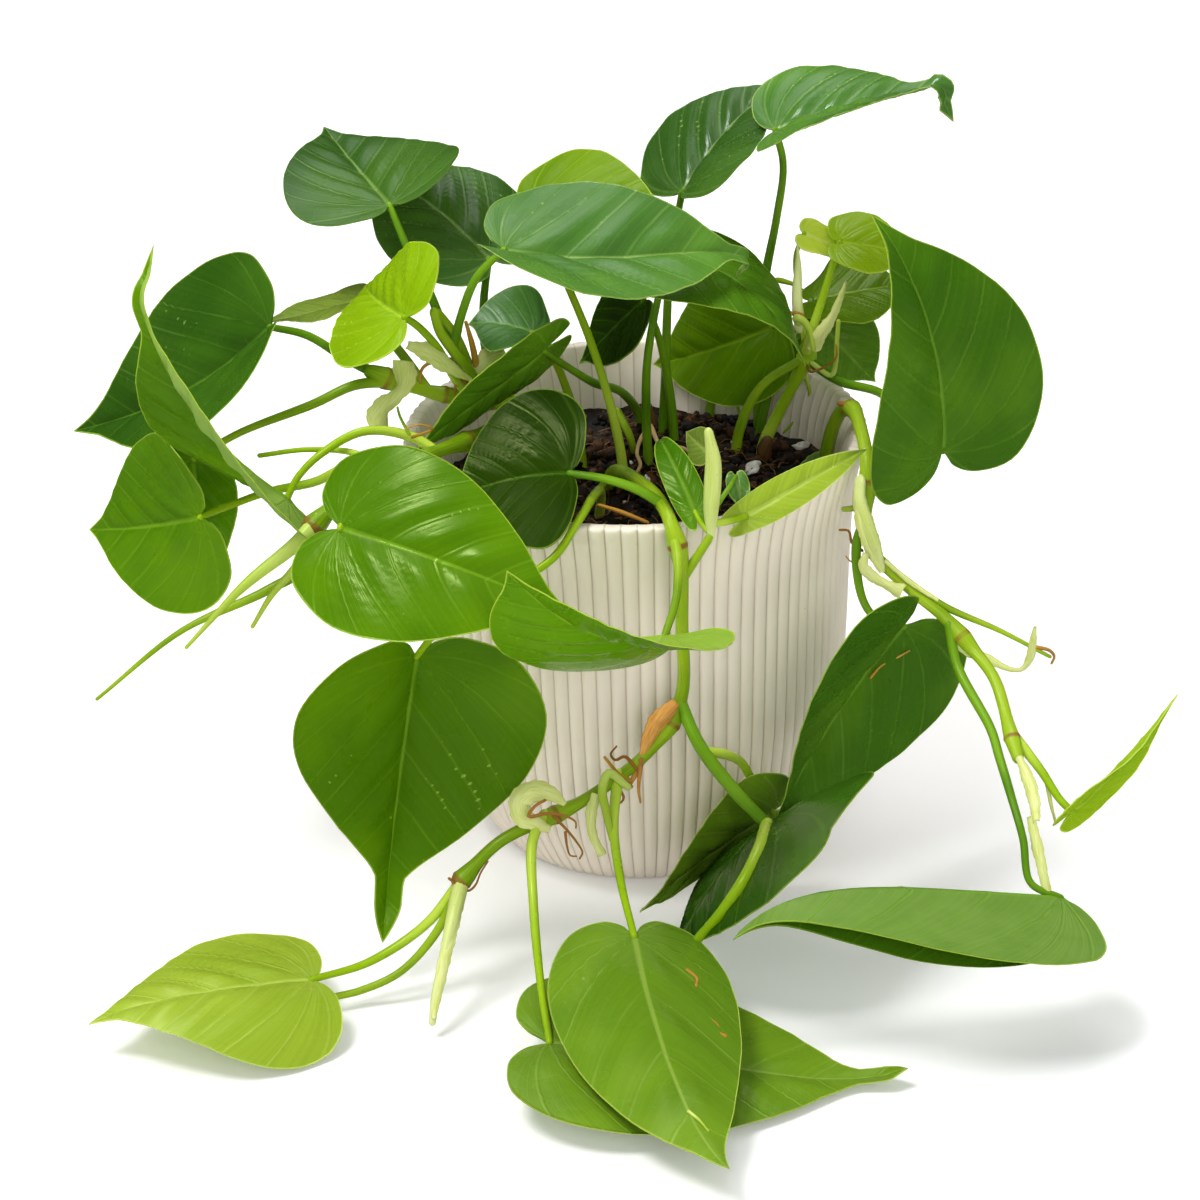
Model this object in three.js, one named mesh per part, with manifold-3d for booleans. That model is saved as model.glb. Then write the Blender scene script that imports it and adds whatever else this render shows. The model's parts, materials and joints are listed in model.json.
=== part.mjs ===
// Heartleaf philodendron trailing out of a reeded white pot.
// Millimetres, +Z up. The origin is the centre of the pot's underside and the plant's front faces -Y.
// The plant is built as leaves, each with its own leaf stalk, on vines that root in the soil.
import * as THREE from "three";
import { mergeVertices } from "three/addons/utils/BufferGeometryUtils.js";
import Module from "manifold-3d";

const wasm = await Module();
wasm.setup();

// Driving dimensions
const GAP = 0.3; // air between neighbouring pieces
const FINEST_DETAIL = 0.07; // a facet that stands out by less is dropped
const POT_HEIGHT = 148;
const POT_RIBS = 90;
const RIB_DEPTH = 1.3;
const POT_FLOOR = 8;
const POT_INNER_SIDES = 48;
const SOIL_SIDES = 24;
const SOIL_LEVEL = 125;
const SOIL_LUMP = 0.8; // how far the crumbly surface rises and falls
const HALF_THICKNESS = 0.35; // half of a blade's thickness
const MIDRIB_DEPTH = 0.6; // how far the midrib stands out below a blade, beside the stalk
const BLADE_ROWS = 8;
const BLADE_COLUMNS = 2; // on each side of the midrib
const TAIL_WIDTH = 0.1; // half width of a narrow drip tip where it starts, as a share of the blade's
const TAIL_FOLD = 0.25; // share of a drip tip's own length over which it bends
const TAIL_BLEND = 0.8; // share of the outline past which a blade stays as wide as its drip tip
const SINUS = 0.1; // share of the outline at which it leaves the stalk
const VEIN_SPREAD = 1.15; // 1 spaces the roots of the veins evenly, more crowds them towards the stalk
const STALK_RADIUS = [1.8, 1.2]; // leaf stalk where it leaves the vine, and at the blade
const STEM_SIDES = 6;
const TWIG_SIDES = 5;
const STALK_SIDES = 5;
const STEM_STEP = 10; // length of one ring of a vine
const STALK_STEP = 13; // and of a leaf stalk
const NODE_REACH = 6; // half length of the swelling at a node of a vine

// Outer and inner outline of the pot: radius, height
const POT_OUTSIDE = [
  [51, 0],
  [58, 9],
  [64.5, 22],
  [70.5, 50],
  [75.5, 128],
  [80, POT_HEIGHT],
];
const POT_INSIDE = [
  [56, POT_FLOOR],
  [66, 50],
  [70.5, 134],
  [75, POT_HEIGHT],
];

// Half outlines of a blade: along the midrib, and out from it, as shares of its length and half width
const OUTLINES = {
  heart: [
    [0, 0],
    [-0.09, 0.12],
    [-0.14, 0.36],
    [-0.09, 0.72],
    [0.14, 1],
    [0.42, 0.92],
    [0.68, 0.56],
    [0.87, 0.17],
    [1, 0],
  ],
  sheath: [
    [0, 0.45],
    [0.2, 0.85],
    [0.45, 1],
    [0.7, 0.75],
    [0.88, 0.35],
    [1, 0],
  ],
};

// The direction that a blade with no roll faces: forwards and a little up
const FACING = new THREE.Vector3(0, -0.91, 0.415);

const COLOURS = {
  pot: 0xdedacd,
  soil: 0x2a1d14,
  deep: 0x2f5a2a,
  mid: 0x4c8a2a,
  light: 0x7fb03a,
  lime: 0xa4cf2c,
  blue: 0x3a6a4c,
  stem: 0x6f9a3a,
  pale: 0xc3d38a,
  dry: 0xa9742a,
};

const radians = THREE.MathUtils.degToRad;

// Point at share t of a smooth curve through 2-D points
function alongOutline(points, t) {
  const last = points.length - 1;
  const s = Math.min(Math.max(t, 0), 1) * last;
  const i = Math.min(Math.floor(s), last - 1);
  const u = s - i;
  const at = (k) => points[Math.min(Math.max(k, 0), last)];
  const [a, b, c, d] = [at(i - 1), at(i), at(i + 1), at(i + 2)];
  return [0, 1].map(
    (k) =>
      0.5 *
      (2 * b[k] +
        (c[k] - a[k]) * u +
        (2 * a[k] - 5 * b[k] + 4 * c[k] - d[k]) * u * u +
        (3 * b[k] - a[k] - 3 * c[k] + d[k]) * u * u * u),
  );
}

// Share of the midrib that belongs to share t of the outline: veins run from here to the margin
const midribShare = (outline, t) => {
  if (outline !== "heart") return alongOutline(OUTLINES[outline], t)[0];
  return Math.pow(Math.min(Math.max((t - SINUS) / (1 - SINUS), 0), 1), VEIN_SPREAD);
};

// A blade bent in space. Its midrib runs from base to tip and arches by arch degrees, with curl more
// towards the tip and sway to the side. roll turns it about its chord, twist turns the tip on the base,
// fold lifts each half (left, right) about the midrib and cup lowers its margin again. A drip tip goes
// on from the tip by tail[0], a share of the length, bends by tail[1] degrees on the way, starts with
// tail[2] as its half width, a share of the blade's, and turns over by tail[3] degrees. slim narrows
// each half towards the stalk, by that share.
class Blade {
  constructor(form) {
    const plain = {
      arch: 20,
      curl: 0,
      sway: 0,
      twist: 0,
      fold: [12, 12],
      cup: [12, 12],
      lobe: 1,
      slim: [0, 0],
      tail: [1, 0, 0, 0],
      outline: "heart",
    };
    Object.assign(this, plain, form);
    const steps = 60;
    this.midrib = [new THREE.Vector3()];
    for (let i = 0; i < steps; i++) {
      const step = this.heading((i + 0.5) / steps).divideScalar(steps);
      this.midrib.push(this.midrib[i].clone().add(step));
    }
    const chord = this.midrib[steps];
    const x = chord.clone().normalize();
    const y = new THREE.Vector3(0, 1, 0).addScaledVector(x, -x.y).normalize();
    const unbend = new THREE.Matrix4().makeBasis(x, y, x.clone().cross(y)).transpose();
    const span = new THREE.Vector3(...this.tip).sub(new THREE.Vector3(...this.base));
    this.length = span.length() / chord.length();
    const along = span.normalize();
    const face = FACING.clone().addScaledVector(along, -FACING.dot(along)).normalize();
    face.applyAxisAngle(along, -radians(this.roll));
    const side = face.clone().cross(along);
    this.place = new THREE.Matrix4()
      .makeTranslation(...this.base)
      .multiply(new THREE.Matrix4().makeBasis(along, side, face))
      .multiply(new THREE.Matrix4().makeScale(this.length, this.length, this.length))
      .multiply(unbend);
  }

  pastTip(s) {
    return Math.min(Math.max(s - 1, 0) / (TAIL_FOLD * this.tail[0]), 1);
  }

  heading(s) {
    const curled = Math.min(Math.max(s, 0), 1) ** 4;
    const bend = this.pastTip(s) * this.tail[1];
    const dip = -radians(this.arch * s + this.curl * curled + bend);
    const turn = radians(this.sway * s);
    return new THREE.Vector3(
      Math.cos(dip) * Math.cos(turn),
      Math.cos(dip) * Math.sin(turn),
      Math.sin(dip),
    );
  }

  midribAt(s) {
    if (s < 0) return this.heading(s / 2).multiplyScalar(s);
    if (s > 1) return this.midribAt(1).addScaledVector(this.heading((1 + s) / 2), s - 1);
    const k = s * (this.midrib.length - 1);
    const i = Math.min(Math.floor(k), this.midrib.length - 2);
    return this.midrib[i].clone().lerp(this.midrib[i + 1], k - i);
  }

  // x along the midrib as a share of the length, y across as a share of the half width
  point(x, y) {
    const heading = this.heading(x);
    const turn = radians(this.sway * x);
    const side = new THREE.Vector3(-Math.sin(turn), Math.cos(turn), 0);
    const up = heading.clone().cross(side);
    const twist = radians(this.twist * x + this.pastTip(x) * this.tail[3]);
    side.applyAxisAngle(heading, twist);
    up.applyAxisAngle(heading, twist);
    const half = y >= 0 ? 0 : 1;
    const fold = radians(this.fold[half]);
    const cup = radians(this.cup[half]) || 1e-3;
    const reach = this.width / 2 / this.length / cup;
    const bent = fold - cup * Math.abs(y);
    const across = reach * (Math.sin(fold) - Math.sin(bent)) * Math.sign(y);
    const rise = reach * (Math.cos(bent) - Math.cos(fold));
    return this.midribAt(x)
      .addScaledVector(side, across)
      .addScaledVector(up, rise)
      .applyMatrix4(this.place);
  }
}

// Where each row of a blade leaves the midrib, and where it meets the margin
function rowsOf(blade) {
  const count = blade.rows ?? BLADE_ROWS;
  const first = blade.outline === "heart" ? SINUS : 0;
  const [reach, , width] = blade.tail;
  const rows = [];
  for (let i = 0; i <= count; i++) {
    const t = THREE.MathUtils.lerp(first, 1, i / count);
    const [x, y] = alongOutline(OUTLINES[blade.outline], t);
    const halves = blade.slim.map((slim) => ({
      edge: x < 0 ? x * blade.lobe * (1 - slim) : x,
      y: Math.max(y * (1 - slim * (1 - t) ** 1.5), t > TAIL_BLEND ? width : 0),
    }));
    rows.push({ root: midribShare(blade.outline, t), halves });
  }
  if (!width) return rows;
  for (const share of [0.5, 1]) {
    const x = 1 + share * reach;
    const half = { edge: x, y: width * (1 - share) };
    rows.push({ root: x, halves: [half, half] });
  }
  return rows;
}

// The thin closed body of a blade: rows of points from stalk to tip, joined, then thickened both ways
function bladeGeometry(blade) {
  const points = [];
  const below = [];
  const grid = [];
  const rows = rowsOf(blade);
  for (const { root, halves } of rows) {
    const columns = grid.length === rows.length - 1 ? 0 : BLADE_COLUMNS;
    const row = [];
    for (let j = -columns; j <= columns; j++) {
      const v = columns ? j / columns : 0;
      const { edge, y } = halves[v >= 0 ? 0 : 1];
      points.push(blade.point(root + (edge - root) * Math.abs(v), v * y));
      const rib = j ? 0 : MIDRIB_DEPTH * Math.max(1 - root, 0);
      below.push(HALF_THICKNESS + rib);
      row.push(points.length - 1);
    }
    grid.push(row);
  }
  const faces = [];
  for (let i = 0; i < grid.length - 1; i++) {
    const [low, high] = [grid[i], grid[i + 1]];
    for (let j = 0; j < low.length - 1; j++) {
      if (high.length === 1) faces.push([low[j], high[0], low[j + 1]]);
      else if (j < BLADE_COLUMNS)
        faces.push([low[j], high[j], low[j + 1]], [low[j + 1], high[j], high[j + 1]]);
      else faces.push([low[j], high[j], high[j + 1]], [low[j], high[j + 1], low[j + 1]]);
    }
  }
  return thickened(points, faces, below);
}

// A surface given an upper and a lower face, split into triangles alike, and a wall along its margin
function thickened(points, faces, below) {
  const surface = new THREE.BufferGeometry().setFromPoints(points);
  surface.setIndex(faces.flat());
  surface.computeVertexNormals();
  const normals = points.map((_, i) =>
    new THREE.Vector3().fromBufferAttribute(surface.getAttribute("normal"), i),
  );
  const upper = points.map((p, i) => p.clone().addScaledVector(normals[i], HALF_THICKNESS));
  const lower = points.map((p, i) => p.clone().addScaledVector(normals[i], -below[i]));
  const count = points.length;
  const edges = ([a, b, c]) => [[a, b], [b, c], [c, a]];
  const inner = new Set(faces.flatMap(edges).map(String));
  const triangles = [];
  for (const face of faces) {
    const [a, b, c] = face;
    triangles.push(a, b, c, a + count, c + count, b + count);
    for (const [from, to] of edges(face))
      if (!inner.has(String([to, from])))
        triangles.push(to, from, from + count, to, from + count, to + count);
  }
  const body = new THREE.BufferGeometry().setFromPoints([...upper, ...lower]);
  body.setIndex(triangles);
  return body;
}

// A round stem: a closed cylinder bent along a smooth curve, its radius going from the first value to
// the second. swell lists the nodes on it as [share of the length, extra radius].
function stemGeometry(form, grow = 0) {
  const { path, radius, swell = [], sides = STEM_SIDES, step = STEM_STEP } = form;
  const curve = new THREE.CatmullRomCurve3(path.map((p) => new THREE.Vector3(...p)));
  const length = curve.getLength();
  const steps = Math.max(3, Math.round(length / step));
  const frames = curve.computeFrenetFrames(steps, false);
  const tube = new THREE.CylinderGeometry(1, 1, 1, sides, steps);
  const spots = tube.getAttribute("position");
  for (let i = 0; i < spots.count; i++) {
    const ring = Math.round((spots.getY(i) + 0.5) * steps);
    const share = ring / steps;
    let r = THREE.MathUtils.lerp(radius[0], radius[1], share) + grow;
    for (const [at, extra] of swell) {
      const away = ((share - at) * length) / NODE_REACH;
      r += extra * Math.exp(-away * away);
    }
    const spot = curve
      .getPointAt(share)
      .addScaledVector(frames.normals[ring], spots.getX(i) * r)
      .addScaledVector(frames.binormals[ring], -spots.getZ(i) * r);
    spots.setXYZ(i, spot.x, spot.y, spot.z);
  }
  return tube;
}

function solid(geometry) {
  const bare = geometry.clone();
  bare.deleteAttribute("normal");
  bare.deleteAttribute("uv");
  const merged = mergeVertices(bare, 1e-3);
  return new wasm.Manifold(
    new wasm.Mesh({
      numProp: 3,
      vertProperties: merged.getAttribute("position").array,
      triVerts: new Uint32Array(merged.index.array),
    }),
  );
}

// The main body that is left once each cutter is taken away
function trimmed(body, cutters) {
  const left = cutters.reduce((rest, cutter) => rest.subtract(cutter), body);
  return left.decompose().reduce((most, piece) => (piece.volume() > most.volume() ? piece : most));
}

// An outline of radius and height turned about the pot's axis
function turned(outline, segments) {
  const profile = outline.map(([r, z]) => new THREE.Vector2(r, z));
  return new THREE.LatheGeometry(profile, segments).rotateX(Math.PI / 2);
}

// Every second line of the outside is a groove between two reeds
function potSolid() {
  const outside = turned([[0, 0], ...POT_OUTSIDE, [0, POT_HEIGHT]], 2 * POT_RIBS);
  const spots = outside.getAttribute("position");
  for (let i = 0; i < spots.count; i++) {
    const [x, y] = [spots.getX(i), spots.getY(i)];
    const r = Math.hypot(x, y);
    const line = Math.round((Math.atan2(y, x) / Math.PI) * POT_RIBS);
    if (r < 1 || line % 2 === 0) continue;
    spots.setXY(i, x * (1 - RIB_DEPTH / r), y * (1 - RIB_DEPTH / r));
  }
  const above = POT_HEIGHT + 5;
  const inside = turned([[0, POT_FLOOR], ...POT_INSIDE, [76, above], [0, above]], POT_INNER_SIDES);
  return solid(outside).subtract(solid(inside));
}

// The soil fills the pot and has a crumbly top
function soilSolid() {
  const wall = POT_INSIDE.filter(([, z]) => z < SOIL_LEVEL).map(([r, z]) => [r - 2 * GAP, z + GAP]);
  const top = [69, 52, 35, 18].map((r) => [r, SOIL_LEVEL]);
  const body = turned([[0, POT_FLOOR + GAP], ...wall, ...top, [0, SOIL_LEVEL]], SOIL_SIDES);
  const spots = body.getAttribute("position");
  for (let i = 0; i < spots.count; i++) {
    const [x, y, z] = [spots.getX(i), spots.getY(i), spots.getZ(i)];
    const lump = Math.sin(0.21 * x + 1) + Math.cos(0.17 * y - 0.06 * x);
    if (z > SOIL_LEVEL - 0.1) spots.setZ(i, z + SOIL_LUMP * lump);
  }
  return solid(body);
}

// Vines from foot to end, with the twigs that spring from them: sheath spikes and young shoots
const VINES = {
  vine_front: {
    path: [
      [-12, 12, 112],
      [-8, -5, 134],
      [0, -40, 148],
      [7, -66, 153],
      [11, -83, 152],
      [14, -88, 140],
      [14, -87, 117],
      [13, -81, 85],
      [3, -88, 71],
      [-19, -100, 59],
      [-48, -112, 50],
      [-61, -116, 38],
    ],
    radius: [2.4, 2],
    swell: [
      [0.43, 1],
      [0.68, 1.4],
      [0.86, 1],
      [1, 1.4],
    ],
    twigs: [
      {
        path: [[13, -88, 131], [17, -88, 138], [24, -87, 149]],
        radius: [1.5, 1.4],
      },
      {
        path: [[24, -87, 147], [24, -86, 158], [25, -83, 170], [24, -80, 184]],
        radius: [2.5, 1.4],
      },
      {
        path: [[-29, -106, 58], [-33, -110, 70], [-40, -112, 72], [-44, -112, 65], [-38, -109, 55]],
        radius: [1.6, 1.2],
      },
      {
        path: [[-61, -116, 38], [-64, -128, 30], [-67, -138, 21], [-70, -148, 12], [-71, -152, 5]],
        radius: [2.7, 1.2],
      },
      {
        path: [[-61, -116, 38], [-70, -123, 22], [-82, -129, 11], [-95, -132, 6], [-106, -135, 5]],
        radius: [1.6, 1.2],
      },
    ],
  },
  vine_left: {
    path: [
      [-40, 24, 112],
      [-42, 10, 142],
      [-46, -14, 157],
      [-56, -36, 162],
      [-70, -54, 165],
      [-84, -66, 164],
      [-97, -76, 160],
      [-106, -81, 153],
    ],
    radius: [2.4, 2.2],
    swell: [
      [0.56, 1],
      [0.77, 1.6],
      [1, 1.6],
    ],
    twigs: [
      {
        path: [[-104, -80, 155], [-112, -86, 149], [-129, -96, 139], [-148, -108, 123]],
        radius: [3, 0.6],
      },
      {
        path: [[-105, -81, 153], [-111, -88, 143], [-120, -92, 134], [-127, -96, 124]],
        radius: [2.2, 0.7],
      },
      {
        path: [[-106, -80, 153], [-111, -82, 138], [-123, -84, 131], [-151, -90, 120], [-180, -95, 98]],
        radius: [2, 0.6],
      },
      {
        path: [[-84, -65, 164], [-92, -56, 167], [-109, -47, 165], [-126, -40, 160]],
        radius: [1.2, 0.8],
      },
    ],
  },
  vine_left_upper: {
    path: [
      [-32, 4, 112],
      [-35, 2, 142],
      [-42, 0, 158],
      [-56, -4, 163],
      [-70, -6, 167],
      [-84, -10, 174],
      [-89, -11, 177],
    ],
    radius: [2.4, 2],
    swell: [
      [0.56, 0.8],
      [0.72, 0.8],
      [0.94, 1.8],
    ],
  },
  vine_left_back: {
    path: [
      [-30, 34, 112],
      [-36, 26, 140],
      [-46, 14, 157],
      [-58, 2, 171],
      [-62, -2, 175],
    ],
    radius: [2.3, 2],
    swell: [[0.92, 2.2]],
  },
  vine_back_right: {
    path: [
      [44, 30, 112],
      [45, 30, 127],
      [51, 30, 141],
      [60, 30, 160],
      [61, 30, 166],
    ],
    radius: [2.3, 2],
    swell: [[0.9, 1.4]],
    twigs: [
      {
        path: [[60, 29, 161], [58, 24, 169], [60, 20, 173], [63, 18, 168], [64, 18, 161]],
        radius: [1.6, 0.7],
      },
      {
        path: [[34, 30, 112], [37, 28, 136], [45, 27, 152], [58, 29, 160]],
        radius: [1.9, 1.6],
      },
    ],
  },
  vine_right: {
    path: [
      [65, 8, 112],
      [66, 7, 134],
      [70, 2, 151],
      [74, -6, 157],
      [77, -23, 154],
      [78, -30, 149],
      [78, -35, 140],
      [77, -38, 130],
      [79, -42, 120],
      [83, -46, 117],
      [93, -54, 110],
      [103, -62, 104],
      [111, -70, 97],
      [118, -82, 91],
      [122, -98, 80],
      [124, -108, 75],
    ],
    radius: [2.4, 1.9],
    swell: [
      [0.25, 0.8],
      [0.42, 0.8],
      [0.75, 0.8],
      [0.96, 0.8],
    ],
    twigs: [
      {
        path: [[84, -46, 116], [92, -50, 111], [103, -57, 106], [121, -66, 101], [137, -74, 95]],
        radius: [1.7, 0.6],
      },
      {
        path: [[103, -64, 103], [109, -67, 97], [118, -70, 93], [126, -72, 91],
          [130, -74, 97], [132, -77, 109]],
        radius: [2.4, 0.8],
      },
    ],
  },
};

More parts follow.
